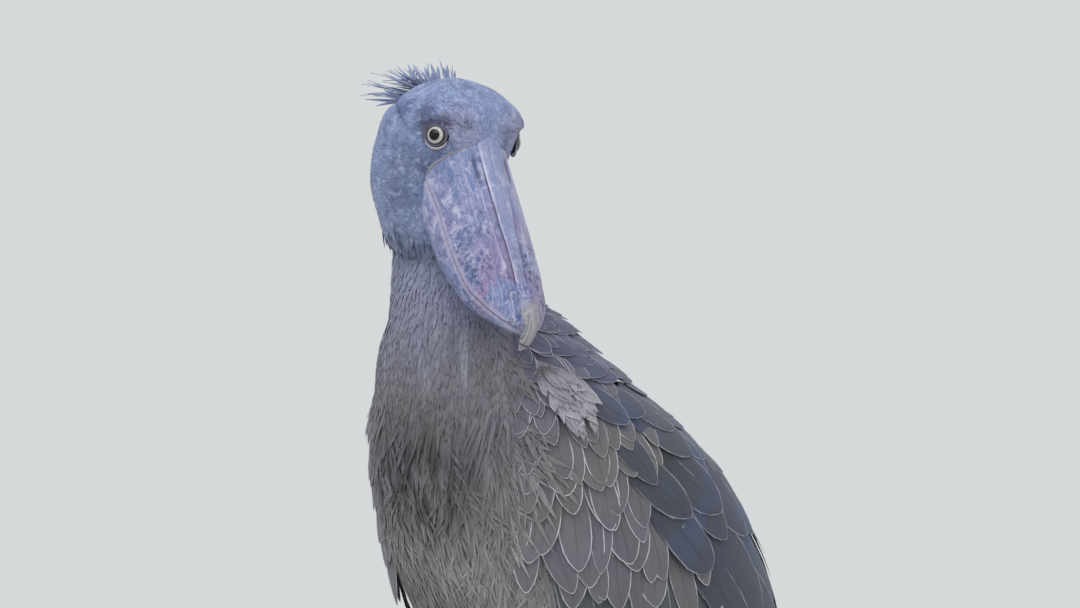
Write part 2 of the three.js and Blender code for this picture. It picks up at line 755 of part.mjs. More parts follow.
const thighsGrown = [1, -1].map((side) => thighSolid(side, GAP));
const tail = tailSolid();
const tailGrown = tailSolid(GAP);
bird.add(meshOf("torso", torso, PLUMAGE));
bird.add(meshOf("tail", tail.subtract(trunkGrown), FLIGHT_FEATHER));
const wing = wingSolid();
const insideWings = join([trunkGrown, tailGrown]);
for (const [side, name] of [
  [1, "left"],
  [-1, "right"],
]) {
  const thigh = thighSolid(side);
  const thighGrown = thighsGrown[side > 0 ? 0 : 1];
  const ownWing = side > 0 ? wing : mirrored(wing);
  const wingCut = join([insideWings, thighGrown]);
  bird.add(meshOf(`wing_${name}`, ownWing.subtract(wingCut), FLIGHT_FEATHER));
  bird.add(meshOf(`thigh_${name}`, thigh.subtract(trunkGrown), PLUMAGE));
  const foot = footSolid(side);
  const footGrown = footSolid(side, GAP);
  const shank = shankSolid(side).subtract(thighGrown);
  bird.add(meshOf(`shank_${name}`, shank.subtract(footGrown), LEG_SKIN));
  bird.add(meshOf(`foot_${name}`, foot, LEG_SKIN));
  for (const toe of Object.keys(TOES)) {
    bird.add(meshOf(`claw_${toe}_${name}`, clawSolid(side, toe).subtract(footGrown), CLAW));
  }
}

// The origin goes to the floor under the middle of the whole bird.
const extent = new THREE.Box3().setFromObject(bird, true);
const middle = extent.getCenter(new THREE.Vector3());
bird.position.set(-middle.x, -middle.y, -extent.min.z);

export default bird;
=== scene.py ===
"""Looks of a life-size standing shoebill with its head turned over its left shoulder.

The bird faces -Y, its left side is +X and +Z is up. Tables are in millimetres, in the bird's own
frame or in that of the head or bill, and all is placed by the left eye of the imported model.
"""

import logging
import math
from dataclasses import dataclass, field
from enum import Enum
from typing import Callable, Sequence

import bpy
import numpy as np
from mathutils import Matrix, Vector
from mathutils.bvhtree import BVHTree


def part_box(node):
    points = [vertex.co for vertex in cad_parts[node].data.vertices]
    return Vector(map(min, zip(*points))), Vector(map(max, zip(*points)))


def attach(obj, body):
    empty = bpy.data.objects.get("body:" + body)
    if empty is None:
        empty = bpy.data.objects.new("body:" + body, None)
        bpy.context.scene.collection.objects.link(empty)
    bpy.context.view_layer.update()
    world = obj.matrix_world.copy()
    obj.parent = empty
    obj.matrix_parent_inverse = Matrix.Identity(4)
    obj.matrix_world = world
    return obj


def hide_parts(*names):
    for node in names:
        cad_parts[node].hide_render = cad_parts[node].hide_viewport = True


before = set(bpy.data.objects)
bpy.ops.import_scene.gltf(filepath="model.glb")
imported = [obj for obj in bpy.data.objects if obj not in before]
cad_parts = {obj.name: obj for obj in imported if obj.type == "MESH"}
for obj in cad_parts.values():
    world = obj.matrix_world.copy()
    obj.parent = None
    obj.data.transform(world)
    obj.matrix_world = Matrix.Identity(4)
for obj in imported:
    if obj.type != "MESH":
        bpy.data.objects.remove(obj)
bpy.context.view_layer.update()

MM = 0.001
MARCH_STEPS = 8  # steps that a feather's middle line takes over the surface
HELD = (0.003, 0.995)  # shares of a form between which a feather follows its surface
ROOTED = (0.004, 0.99)  # shares of a form between which feathers have their roots
SAMPLES = 60  # places at which a form is measured to space the feathers
HALF_PATCH = 0.0015  # half the width of a feather's patch on the baking map
log = logging.getLogger("shoebill")
Array = np.ndarray
Piece = bpy.types.Object
Material = bpy.types.Material

HEAD_PLACE = (80.0, -124.0, 1117.0)  # where the culmen leaves the forehead
HEAD_YAW = 82.0  # degrees, the head turned to the bird's left
HEAD_ROLL = 4.0
BILL_PITCH = 61.0  # degrees below level
EYE_RADIUS = 12.5
EYE_PLACE = (45.0, 27.0, 3.0)  # centre of the left eye, in the head's frame
EYE_FORWARD = 25.0  # degrees that the gaze points forward of sideways
FOOT_SPREAD = 72.0
FOOT_BACK = 48.0
FOOT_STAGGER = 14.0
ANKLE_HEIGHT = 262.0

# Sections of the forms: middle x, y, z, half width, height to the back and to the belly.
# HEAD is in the head's frame, and UPPER_BILL and LOWER_BILL are in the bill's.
TRUNK = [
    [0, 300, 520, 10, 8, 8],
    [0, 245, 585, 58, 48, 58],
    [0, 180, 652, 104, 96, 132],
    [0, 100, 720, 134, 116, 178],
    [0, 22, 780, 136, 108, 170],
    [0, -38, 842, 118, 94, 130],
    [0, -76, 898, 92, 82, 88],
    [0, -94, 945, 68, 66, 66],
    [-8, -102, 985, 50, 55, 48],
    [-14, -103, 1022, 41, 43, 40],
    [-16, -104, 1062, 37, 39, 37],
]
WING_COVER = [
    [0, -62, 960, 66, 46, 33],
    [0, -50, 935, 92, 70, 55],
    [0, -35, 900, 118, 88, 75],
    [0, -16, 865, 137, 118, 101],
    [0, 6, 830, 151, 152, 130],
    [0, 26, 790, 158, 188, 147],
    [0, 50, 745, 160, 207, 165],
    [0, 78, 700, 158, 211, 190],
    [0, 112, 650, 150, 198, 212],
    [0, 152, 600, 136, 168, 212],
    [0, 200, 540, 116, 130, 175],
    [0, 250, 480, 92, 92, 140],
    [0, 300, 420, 60, 55, 95],
    [0, 328, 385, 32, 24, 60],
]
HEAD = [
    [0, 92, -118, 36, 26, 36],
    [0, 90, -88, 49, 41, 48],
    [0, 84, -58, 57, 65, 46],
    [0, 77, -28, 60, 72, 44],
    [0, 70, 2, 62, 67, 66],
    [0, 66, 32, 67, 63, 68],
    [0, 68, 64, 62, 63, 64],
]
UPPER_BILL = [
    [0, 26, -60, 44, 60, 1],
    [0, -6, -59, 45, 57, 1],
    [0, -54, -52, 47, 44, 1],
    [0, -97, -50, 49, 38, 1],
    [0, -141, -46, 46, 32, 1],
    [0, -166, -38, 39, 23, 1],
    [0, -184, -32, 28, 16, 1],
    [0, -198, -27, 14, 9, 1],
    [0, -204, -25, 4, 4, 1],
]
LOWER_BILL = [
    [0, 26, -62, 43, 1, 44],
    [0, -6, -61, 44, 1, 50],
    [0, -54, -54, 46, 1, 48],
    [0, -97, -52, 48, 1, 42],
    [0, -141, -48, 45, 1, 30],
    [0, -166, -40, 38, 1, 21],
    [0, -184, -34, 27, 1, 14],
    [0, -196, -30, 14, 1, 8],
    [0, -202, -28, 4, 1, 3],
]
# Places along the hook in the bill's frame: x, y, z, radius
HOOK = [
    [0, -155, -20, 12],
    [0, -180, -20, 12],
    [0, -198, -26, 9],
    [0, -208, -37, 5.5],
    [0, -211, -47, 1.4],
]
# Tufts of the crest in the head's frame: x, y, z, turn to the left of straight back, rise, length
CREST = [
    [0, 118, 50, -20, 8, 56],
    [-16, 114, 44, -30, 0, 38],
    [14, 114, 44, 22, 4, 46],
    [-10, 110, 56, -12, 15, 50],
    [0, 110, 54, 2, 45, 36],
    [4, 104, 56, 14, 30, 40],
    [-2, 94, 58, 0, 78, 21],
    [3, 76, 62, 10, 68, 18],
]
# Turn from straight ahead in degrees and length of each toe
TOES = {"inner": (-24.0, 132.0), "middle": (4.0, 172.0), "outer": (31.0, 142.0), "hind": (172.0, 82.0)}
CLAW_LENGTH = 24.0
# Sections of a toe: share of the length, height of the middle, radius
TOE_SECTIONS = (
    (0, 16, 11), (0.12, 12, 9.5), (0.3, 7.4, 8), (0.48, 7.2, 7.6), (0.66, 6.2, 6.6), (0.83, 6, 6.6),
    (1, 6, 5.4),
)
# Sections of the bare leg from the feathers down: how far back, height, radius
SHANK = (
    (14, 370, 9.5),
    (22, 318, 9),
    (28, 285, 12),
    (30, ANKLE_HEIGHT, 14.5),
    (26, 236, 11),
    (18, 190, 8.5),
    (8, 110, 8.2),
    (2, 50, 9.5),
    (0, 24, 11.5),
)
# The line of the mouth in the bill's frame: places along it and the heights there
MOUTH = ((-184, -166, -141, -97, -54, -6, 26), (-31, -37, -45, -49, -51, -58, -59))
UPPER_POWER = 0.94  # how boxy the halves of the bill are, with 1 an ellipse
LOWER_POWER = 0.82
BILL_CAPS = (0.05, 0.08)
BILL_HALF = 50  # about half the bill's greatest width, the unit across it for its markings
UNMARKED = 9.0  # far from the groove or the mouth, in the units of the bill's markings
TAIL_ROOT = (0.0, 222.0, 598.0)
TAIL_SLOPE = 53.0
TAIL_LENGTH = 262.0
TAIL_FAN = 14.0
SIDES = ((1, "left"), (-1, "right"))
DOWN = np.array([0.0, 0.0, -1.0])


def unit(vectors: Array) -> Array:
    """Vectors scaled to length one, along the last axis."""
    return vectors / np.maximum(np.linalg.norm(vectors, axis=-1, keepdims=True), 1e-12)


def smoothstep(low: float, high: float, value: Array) -> Array:
    """A smooth rise from 0 at low to 1 at high."""
    share = np.clip((value - low) / (high - low), 0, 1)
    return share * share * (3 - 2 * share)


def blend(pair: tuple[float, float], share: Array) -> Array:
    """Values on the way from the first of a pair to the second."""
    return pair[0] + (pair[1] - pair[0]) * share


def turned(vectors: Array, axes: Array, angles: Array) -> Array:
    """Vectors turned about axes.

    Args:
        vectors: what is turned.
        axes: a unit axis for each.
        angles: radians for each.

    Returns:
        The turned vectors.
    """
    c = np.cos(angles)[..., None]
    s = np.sin(angles)[..., None]
    dot = (vectors * axes).sum(-1, keepdims=True)
    return vectors * c + np.cross(axes, vectors) * s + axes * dot * (1 - c)


def matrix_of(place: Sequence[float], turns: Sequence[tuple[str, float]]) -> Array:
    """A move and then turns.

    Args:
        place: how far the move goes.
        turns: the name of an axis and the degrees of each turn.

    Returns:
        The 4 by 4 matrix.
    """
    whole = Matrix.Translation(Vector(place))
    for axis, angle in turns:
        whole = whole @ Matrix.Rotation(math.radians(angle), 4, axis)
    return np.array(whole)


HEAD_POSE = matrix_of(HEAD_PLACE, [("Z", HEAD_YAW), ("Y", HEAD_ROLL)])
BILL_POSE = HEAD_POSE @ matrix_of((0, 0, 0), [("X", BILL_PITCH)])


def placed(points: Array, pose: Array) -> Array:
    """Points moved by a 4 by 4 matrix."""
    return points @ pose[:3, :3].T + pose[:3, 3]


def eye_axis(side: int) -> Array:
    """The gaze of one eye, in the head's frame."""
    turn = math.radians(EYE_FORWARD)
    return np.array([side * math.cos(turn), -math.sin(turn), 0.0])


def eye_place(side: int) -> Array:
    """The centre of one eye, in the head's frame."""
    return np.array([side * EYE_PLACE[0], EYE_PLACE[1], EYE_PLACE[2]])


def frame_shift() -> Array:
    """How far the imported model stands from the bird's own frame, in millimetres."""
    low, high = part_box("eye_left")
    found = np.array([(a + b) / 2 for a, b in zip(low, high)]) / MM
    shift = found - placed(eye_place(1), HEAD_POSE)
    shift[2] = 0
    return shift


SHIFT = frame_shift()


def cap_scale(share: Array, caps: tuple[float, float]) -> Array:
    """How far a section is drawn in near rounded ends.

    Args:
        share: places along the form.
        caps: shares of the length over which its start and its end are rounded.

    Returns:
        Factors from 0 at the end to 1.
    """
    start = np.minimum(share / caps[0], 1) if caps[0] > 0 else np.ones_like(share)
    end = np.minimum((1 - share) / caps[1], 1) if caps[1] > 0 else np.ones_like(share)
    return np.sqrt(1 - (1 - start) ** 2) * np.sqrt(1 - (1 - end) ** 2)


def ripple(points: Array, size: float, seed: int) -> Array:
    """Smooth waves over the body.

    Args:
        points: places in the bird's frame.
        size: the length of the waves in millimetres.
        seed: which waves they are.

    Returns:
        Numbers mostly from -1 to 1.
    """
    rng = np.random.default_rng(seed)
    ways = unit(rng.normal(size=(6, 3))) * (2 * math.pi / size) * (0.7 + 0.6 * rng.random((6, 1)))
    return np.sin(points @ ways.T + rng.random(6) * 2 * math.pi).sum(-1) / 3


def padded(rows: Sequence[Sequence[float]]) -> Array:
    """A table with one more row at each end, straight on, for curve_rows."""
    table = np.array(rows, float)
    return np.vstack([2 * table[0] - table[1], table, 2 * table[-1] - table[-2]])


def curve_rows(table: Array, t: Array) -> Array:
    """A smooth curve through the rows of a table.

    Args:
        table: the rows, from padded.
        t: shares of the length.

    Returns:
        The columns there.
    """
    spans = len(table) - 3
    span = np.clip(t, 0, 1) * spans
    i = np.minimum(np.floor(span).astype(int), spans - 1)
    f = (span - i)[..., None]
    a, b, c, d = (table[i + k] for k in range(4))
    return b + 0.5 * f * (c - a + f * (2 * a - 5 * b + 4 * c - d + f * (3 * (b - c) + d - a)))


class Loft:
    """A form pulled along a middle line, with a section that changes on the way."""

    def __init__(
        self,
        rows: Sequence[Sequence[float]],
        power: float = 1.0,
        level: bool = False,
        pose: Array | None = None,
        relief: Callable[[Array], Array] | None = None,
        caps: tuple[float, float] = (0.0, 0.0),
    ) -> None:
        """Keeps the table of sections.

        Args:
            rows: middle x, y, z, half width, height to the back and height to the belly.
            power: under 1 makes a section boxier than an ellipse.
            level: keeps the sections level instead of square to the middle line.
            pose: where the form's own frame is in the bird's.
            relief: how far each point of the surface stands out, in the form's own frame.
            caps: shares of the length over which the ends are rounded.
        """
        self.table = padded(rows)
        self.power = power
        self.level = level
        self.pose = pose
        self.relief = relief
        self.caps = caps

    def between(self, t: Array) -> Array:
        """The table's columns at shares t of the length."""
        return curve_rows(self.table, t)

    def point(self, t: Array, angle: Array, lift: float | Array = 0.0) -> Array:
        """Points of the surface.

        Args:
            t: shares of the length.
            angle: radians round the section, 0 at the left side and a quarter turn at the back.
            lift: how far outside the surface.

        Returns:
            Points in the bird's frame.
        """
        t, angle = np.broadcast_arrays(np.asarray(t, float), np.asarray(angle, float))
        scale = cap_scale(np.clip(t, 0, 1), self.caps)
        x, y, z, width, back, belly = np.moveaxis(self.between(t), -1, 0)
        along = unit(self.between(t + 0.005)[..., :3] - self.between(t - 0.005)[..., :3])
        if self.level:
            dorsal = np.broadcast_to([0.0, 1.0, 0.0], along.shape)
            side = np.broadcast_to([1.0, 0.0, 0.0], along.shape)
        else:
            dorsal = unit(np.cross(along, [1.0, 0.0, 0.0]))
            side = np.cross(dorsal, along)
        cos, sin = np.cos(angle), np.sin(angle)
        grown = lift * np.minimum(scale * 4, 1)
        across = np.sign(cos) * np.abs(cos) ** self.power * (width * scale + grown)
        up = np.sign(sin) * np.abs(sin) ** self.power * (np.where(sin > 0, back, belly) * scale + grown)
        centre = np.stack([x, y, z], -1)
        place = centre + side * across[..., None] + dorsal * up[..., None]
        if self.relief is not None:
            place = place + unit(place - centre) * (self.relief(place) * np.minimum(scale * 4, 1))[..., None]
        return placed(place, self.pose) if self.pose is not None else place

    def normal(self, t: Array, angle: Array) -> tuple[Array, Array, Array, Array]:
        """The surface and how it lies.

        Args:
            t: shares of the length.
            angle: radians round the section.

        Returns:
            The points, their change along the length and round the section, and the outward normals.
        """
        place = self.point(t, angle)
        step = np.where(t > 0.99, -0.004, 0.004)
        onwards = (self.point(t + step, angle) - place) / step[..., None]
        round_it = (self.point(t, angle + 0.02) - place) / 0.02
        normal = unit(np.cross(onwards, round_it))
        centre = self.between(t)[..., :3]
        if self.pose is not None:
            centre = placed(centre, self.pose)
        normal *= np.sign((normal * (place - centre)).sum(-1, keepdims=True))
        return place, onwards, round_it, normal

    def march(self, t: Array, angle: Array, heading: Array, length: Array) -> tuple[Array, Array, Array]:
        """Steps over the surface along a heading, and straight on past its end.

        Args:
            t, angle: where each way starts.
            heading: the direction that each way keeps to, as near as the surface lets it.
            length: how long each way is.

        Returns:
            Places, normals and directions, each with a row for every way and step.
        """
        t, angle = t.copy(), angle.copy()
        reach = (length / MARCH_STEPS)[:, None]
        places, normals, forwards = [], [], []
        place, onwards, round_it, normal = self.normal(t, angle)
        last = unit(heading - normal * (heading * normal).sum(-1, keepdims=True)) * reach
        for _ in range(MARCH_STEPS + 1):
            held = (t < HELD[1]) & (t > HELD[0])
            found, onwards, round_it, found_normal = self.normal(t, angle)
            place = np.where(held[:, None], found, place + last)
            normal = np.where(held[:, None], found_normal, normal)
            bent = unit(heading - normal * (heading * normal).sum(-1, keepdims=True)) * reach
            last = np.where(held[:, None], bent, last)
            places.append(place)
            normals.append(normal)
            forwards.append(unit(last))
            a = (onwards * onwards).sum(-1)
            b = (onwards * round_it).sum(-1)
            c = (round_it * round_it).sum(-1)
            d = (onwards * last).sum(-1)
            e = (round_it * last).sum(-1)
            spread = np.maximum(a * c - b * b, 1e-6)
            t = np.where(held, t + (d * c - e * b) / spread, t)
            angle = np.where(held, angle + (a * e - b * d) / spread, angle)
        return np.stack(places, 1), np.stack(normals, 1), np.stack(forwards, 1)


# The edge of the cap of feathers over the eye, as height at places along the head
CAP_EDGE_ALONG = (-30, -8, 12, 27, 40, 51, 70, 95, 125)
CAP_EDGE_HEIGHT = (-2, 4, 15, 19, 13, 4, 22, 41, 62)


def head_relief(points: Array) -> Array:
    """Brow, eye hollows, cheeks and cap.

    Args:
        points: places on the head, in its own frame.

    Returns:
        How far the surface stands out of its loft there.
    """
    swellings = (
        ((52, 16, 26), 22, 9),
        ((56, 20, 0), 16, -5),
        ((56, 74, -52), 34, 4),
    )
    mirrored = points * [-1, 1, 1]
    out = 5 * np.exp(-((points - [0, 0, 26]) ** 2).sum(-1) / 34**2)
    for at, size, height in swellings:
        for side in (points, mirrored):
            out = out + height * np.exp(-((side - np.array(at)) ** 2).sum(-1) / size**2)
    edge = np.interp(points[..., 1], CAP_EDGE_ALONG, CAP_EDGE_HEIGHT)
    cap = smoothstep(-2.5, 2.5, points[..., 2] - edge) * smoothstep(14, 30, np.abs(points[..., 0]))
    return out + 3.0 * cap - 1.2


def thigh_rows(side: int) -> list[list[float]]:
    """The sections of one thigh with its feathers.

    Args:
        side: 1 for the left thigh, -1 for the right.

    Returns:
        The table of its form.
    """
    x, y = side * FOOT_SPREAD, FOOT_BACK - side * FOOT_STAGGER
    return [
        [side * 58, 60, 740, 42, 50, 60],
        [side * 64, 44, 670, 60, 74, 80],
        [side * 69, 34, 600, 64, 80, 86],
        [side * 72, 36, 530, 57, 70, 74],
        [side * 72, 44, 462, 43, 50, 52],
        [x, y + 6, 400, 27, 30, 31],
        [x, y + 16, 352, 17, 18, 18],
    ]


TRUNK_LOFT = Loft(TRUNK, power=0.92, caps=(0.06, 0.03))
WING_LOFT = Loft(WING_COVER, power=0.86, level=True)
HEAD_LOFT = Loft(HEAD, power=0.78, pose=HEAD_POSE, relief=head_relief, caps=(0.12, 0.36))
THIGH_LOFTS = {side: Loft(thigh_rows(side), caps=(0.16, 0.05)) for side, _ in SIDES}


def operator(operation: str, swapped: bool = False) -> "Callable[..., Socket]":
    """A method of Socket that adds one maths node.

    Args:
        operation: what the node does.
        swapped: puts the other value first.

    Returns:
        The method.
    """

    def method(self: "Socket", *others: "Socket | float") -> "Socket":
        """The node's result."""
        values = (*others, self) if swapped else (self, *others)
        return self.graph.node("ShaderNodeMath", {"operation": operation}, dict(enumerate(values)))

    return method


class Socket:
    """A value on its way through a material, which takes part in Python arithmetic."""

    def __init__(self, graph: "Graph", output: bpy.types.NodeSocket) -> None:
        """Keeps the node's output and the graph that it belongs to."""
        self.graph = graph
        self.output = output

    __add__ = __radd__ = operator("ADD")
    __sub__ = operator("SUBTRACT")
    __rsub__ = operator("SUBTRACT", swapped=True)
    __mul__ = __rmul__ = operator("MULTIPLY")
    __abs__ = operator("ABSOLUTE")
    sine = operator("SINE")
    larger = operator("MAXIMUM")

    def rise(self, low: float, high: float) -> "Socket":
        """A smooth rise from 0 at low to 1 at high, or a fall where low is the larger."""
        values = {"Value": self, "From Min": low, "From Max": high}
        settings = {"interpolation_type": "SMOOTHSTEP"}
        return self.graph.node("ShaderNodeMapRange", settings, values)


Colour = tuple[float, float, float]


def linear(colour: Sequence[float]) -> tuple[float, float, float, float]:
    """A colour given as 0 to 255 on a screen, as the renderer's linear light."""
    parts = [c / 255 for c in colour]
    return (*(((c + 0.055) / 1.055) ** 2.4 if c > 0.04 else c / 12.92 for c in parts), 1.0)


class Graph:
    """A material under construction."""

    def __init__(self, name: str) -> None:
        """Starts an empty material of that name."""
        self.material = bpy.data.materials.new(name)
        self.material.use_nodes = True
        self.tree = self.material.node_tree
        self.tree.nodes.clear()

    def node(
        self, kind: str, settings: dict | None = None, values: dict | None = None, output: int | str = 0
    ) -> Socket:
        """Adds a node.

        Args:
            kind: the node's type.
            settings: its properties, which are set first.
            values: numbers, colours or sockets by the input's name or place.
            output: the output that is wanted.

        Returns:
            That output.
        """
        made = self.tree.nodes.new(kind)
        for key, value in (settings or {}).items():
            setattr(made, key, value)
        for key, value in (values or {}).items():
            if isinstance(value, Socket):
                self.tree.links.new(value.output, made.inputs[key])
            else:
                made.inputs[key].default_value = value
        return Socket(self, made.outputs[output])

    def place(self) -> Socket:
        """Object coordinates."""
        return self.node("ShaderNodeTexCoord", output="Object")

    def parts(self, vector: Socket) -> list[Socket]:
        """The three numbers of a vector."""
        made = self.node("ShaderNodeSeparateXYZ", None, {0: vector}).output.node
        return [Socket(self, made.outputs[i]) for i in range(3)]

    def noise(
        self, scale: float, detail: float = 3, rough: float = 0.55, distortion: float = 0,
        vector: Socket | None = None,
    ) -> Socket:
        """Noise over the object.

        Args:
            scale: how fine it is.
            detail, rough, distortion: the noise node's own settings.
            vector: what it is laid over instead of the object's coordinates.

        Returns:
            Numbers about 0.5.
        """
        values = {
            "Vector": vector or self.place(),
            "Scale": scale,
            "Detail": detail,
            "Roughness": rough,
            "Distortion": distortion,
        }
        return self.node("ShaderNodeTexNoise", None, values)

    def stretched(self, scale: Sequence[float]) -> Socket:
        """Object coordinates multiplied by a number for each axis."""
        values = {"Vector": self.place(), "Scale": scale}
        return self.node("ShaderNodeMapping", {"vector_type": "POINT"}, values)

    def vane(self) -> list[Socket]:
        """The three numbers that a piece stores at each vertex as vane."""
        return self.parts(self.node("ShaderNodeAttribute", {"attribute_name": "vane"}, output="Vector"))

    def edge(self) -> Socket:
        """The number that a piece stores at each vertex as edge."""
        return self.node("ShaderNodeAttribute", {"attribute_name": "edge"}, output="Fac")

    def mix(self, first: "Colour | Socket", second: "Colour | Socket", share: "Socket | float") -> Socket:
        """One colour changed into another.

        Args:
            first, second: the colours.
            share: how much of the second shows.

        Returns:
            The mixed colour.
        """
        settings = {"data_type": "RGBA"}
        values = {0: share}
        for key, colour in ((6, first), (7, second)):
            values[key] = colour if isinstance(colour, Socket) else linear(colour)
        return self.node("ShaderNodeMix", settings, values, output=2)

    def distance(self, points: Array) -> Socket:
        """The distance from a point of the finished model to each point of the surface."""
        values = {0: self.place(), 1: tuple(points)}
        return self.node("ShaderNodeVectorMath", {"operation": "DISTANCE"}, values, output="Value")

    def finish(
        self, colour: Socket, roughness: "Socket | float", height: Socket | None, depth: float,
        extra: dict | None = None,
    ) -> Material:
        """Ends the material in its shader.

        Args:
            colour: the base colour.
            roughness: its roughness.
            height: relief for the bump, if any.
            depth: how deep the relief is, in metres.
            extra: constant values of other sockets.

        Returns:
            The material.
        """
        values = {"Base Color": colour, "Roughness": roughness, **(extra or {})}
        if height is not None:
            bump = {"Height": height, "Distance": depth, "Strength": 1.0}
            values["Normal"] = self.node("ShaderNodeBump", None, bump)
        shader = self.node("ShaderNodeBsdfPrincipled", None, values)
        made = self.tree.nodes.new("ShaderNodeOutputMaterial")
        self.tree.links.new(shader.output, made.inputs["Surface"])
        return self.material


def world_point(points: Sequence[float] | Array) -> Array:
    """Points of the bird's frame in the finished model, in metres."""
    return (np.asarray(points, float) + SHIFT) * MM


# Colours as they look on a screen
HEAD_BLUE = (134, 150, 192)
HEAD_SLATE = (94, 106, 142)
FACE_PINK = (164, 162, 196)
NECK_GREY = (146, 149, 178)
BREAST_GREY = (130, 127, 139)
BELLY_GREY = (176, 175, 178)
OLIVE = (138, 134, 126)
# colour of the painted shade on the bib, where the breast turns down from the light above
BIB_SHADE = (72, 68, 72)
UNDERSIDE = (58, 58, 64)

# Soft patches on each side of the head, some its own colour and some painted shade: place in the head's
# frame, reach, colour, share
HEAD_MARKS_AND_SHADE = (
    ((34.0, -4.0, 4.0), 34.0, FACE_PINK, 0.8),
    ((40.0, 0.0, 24.0), 24.0, (156, 150, 182), 0.5),
    # painted shade on the lower cheek, which turns away from the light above
    ((60.0, 56.0, -44.0), 52.0, (110, 122, 156), 0.8),
    # painted shadow under the brow, above and behind the eye
    ((56.0, 34.0, 22.0), 18.0, (72, 80, 114), 0.75),
    # this row and the next: the cap's slate lower edge, darkened further by painted shade under its overhang
    ((61.0, 66.0, 30.0), 17.0, (80, 96, 144), 0.75),
    ((60.0, 88.0, 46.0), 20.0, (84, 102, 150), 0.7),
    # painted shadow under the brow, above the front of the eye
    ((52.0, 14.0, 17.0), 13.0, (74, 76, 104), 0.75),
    ((47.0, 6.0, -7.0), 12.0, (88, 82, 108), 0.8),
    ((54.0, 36.0, -30.0), 11.0, (80, 76, 98), 0.8),
    ((24.0, -34.0, 10.0), 20.0, (124, 122, 152), 0.6),
)


def plumage_tone(graph: Graph) -> Socket:
    """The colours that skin and coat share: blue head, violet-grey neck and grey belly, and painted shade on
    the bib, under the brow and cap, on the lower cheek and in streaks between locks of feathers.

    Args:
        graph: the material under construction.

    Returns:
        The colour.
    """
    height = graph.parts(graph.place())[2]  # metres over the floor, in this function's ramps
    low = graph.mix(BELLY_GREY, BREAST_GREY, height.rise(0.68, 0.84))
    neck = graph.mix(low, NECK_GREY, height.rise(0.84, 0.98))
    cloud = graph.noise(9, 4, 0.6)
    neck = graph.mix(neck, OLIVE, cloud.rise(0.42, 0.62) * height.rise(1.0, 0.86) * 0.5)
    flow = graph.noise(1, 4, 0.6, 0.3, graph.stretched((95, 95, 13)))
    # painted shade: the bib darkened where the breast turns down from the light above, broken into streaks
    # along the lie
    bib = graph.distance(world_point((0, -125, 785))).rise(0.108, 0.03)
    neck = graph.mix(neck, BIB_SHADE, bib * (0.3 + 0.6 * flow.rise(0.42, 0.56)))
    head = graph.mix(neck, HEAD_BLUE, height.rise(0.98, 1.06))
    for place, reach, colour, share in HEAD_MARKS_AND_SHADE:
        for side, _ in SIDES:
            spot = world_point(placed(np.array(place) * [side, 1, 1], HEAD_POSE))
            near = graph.distance(spot).rise(reach * MM * 1.1, reach * MM * 0.3)
            head = graph.mix(head, colour, near * share)
    patch = graph.noise(34, 5, 0.65, 0.4)
    above = height.rise(0.94, 1.04)
    tone = graph.mix(head, HEAD_SLATE, patch.rise(0.47, 0.66) * 0.6 * above)
    fleck = graph.noise(130, 4, 0.65)
    tone = graph.mix(tone, (196, 204, 236), fleck.rise(0.5, 0.66) * 0.4 * above)
    tone = graph.mix(tone, (92, 100, 136), fleck.rise(0.46, 0.32) * 0.4 * above)
    pale = flow.rise(0.52, 0.7) * height.rise(0.8, 0.9)
    tone = graph.mix(tone, (206, 210, 228), pale * (1 - above) * 0.28)
    # painted shade in the gaps between locks of feathers: darker streaks along the lie below the head
    return graph.mix(tone, (84, 82, 90), flow.rise(0.48, 0.3) * (1 - above) * 0.4)


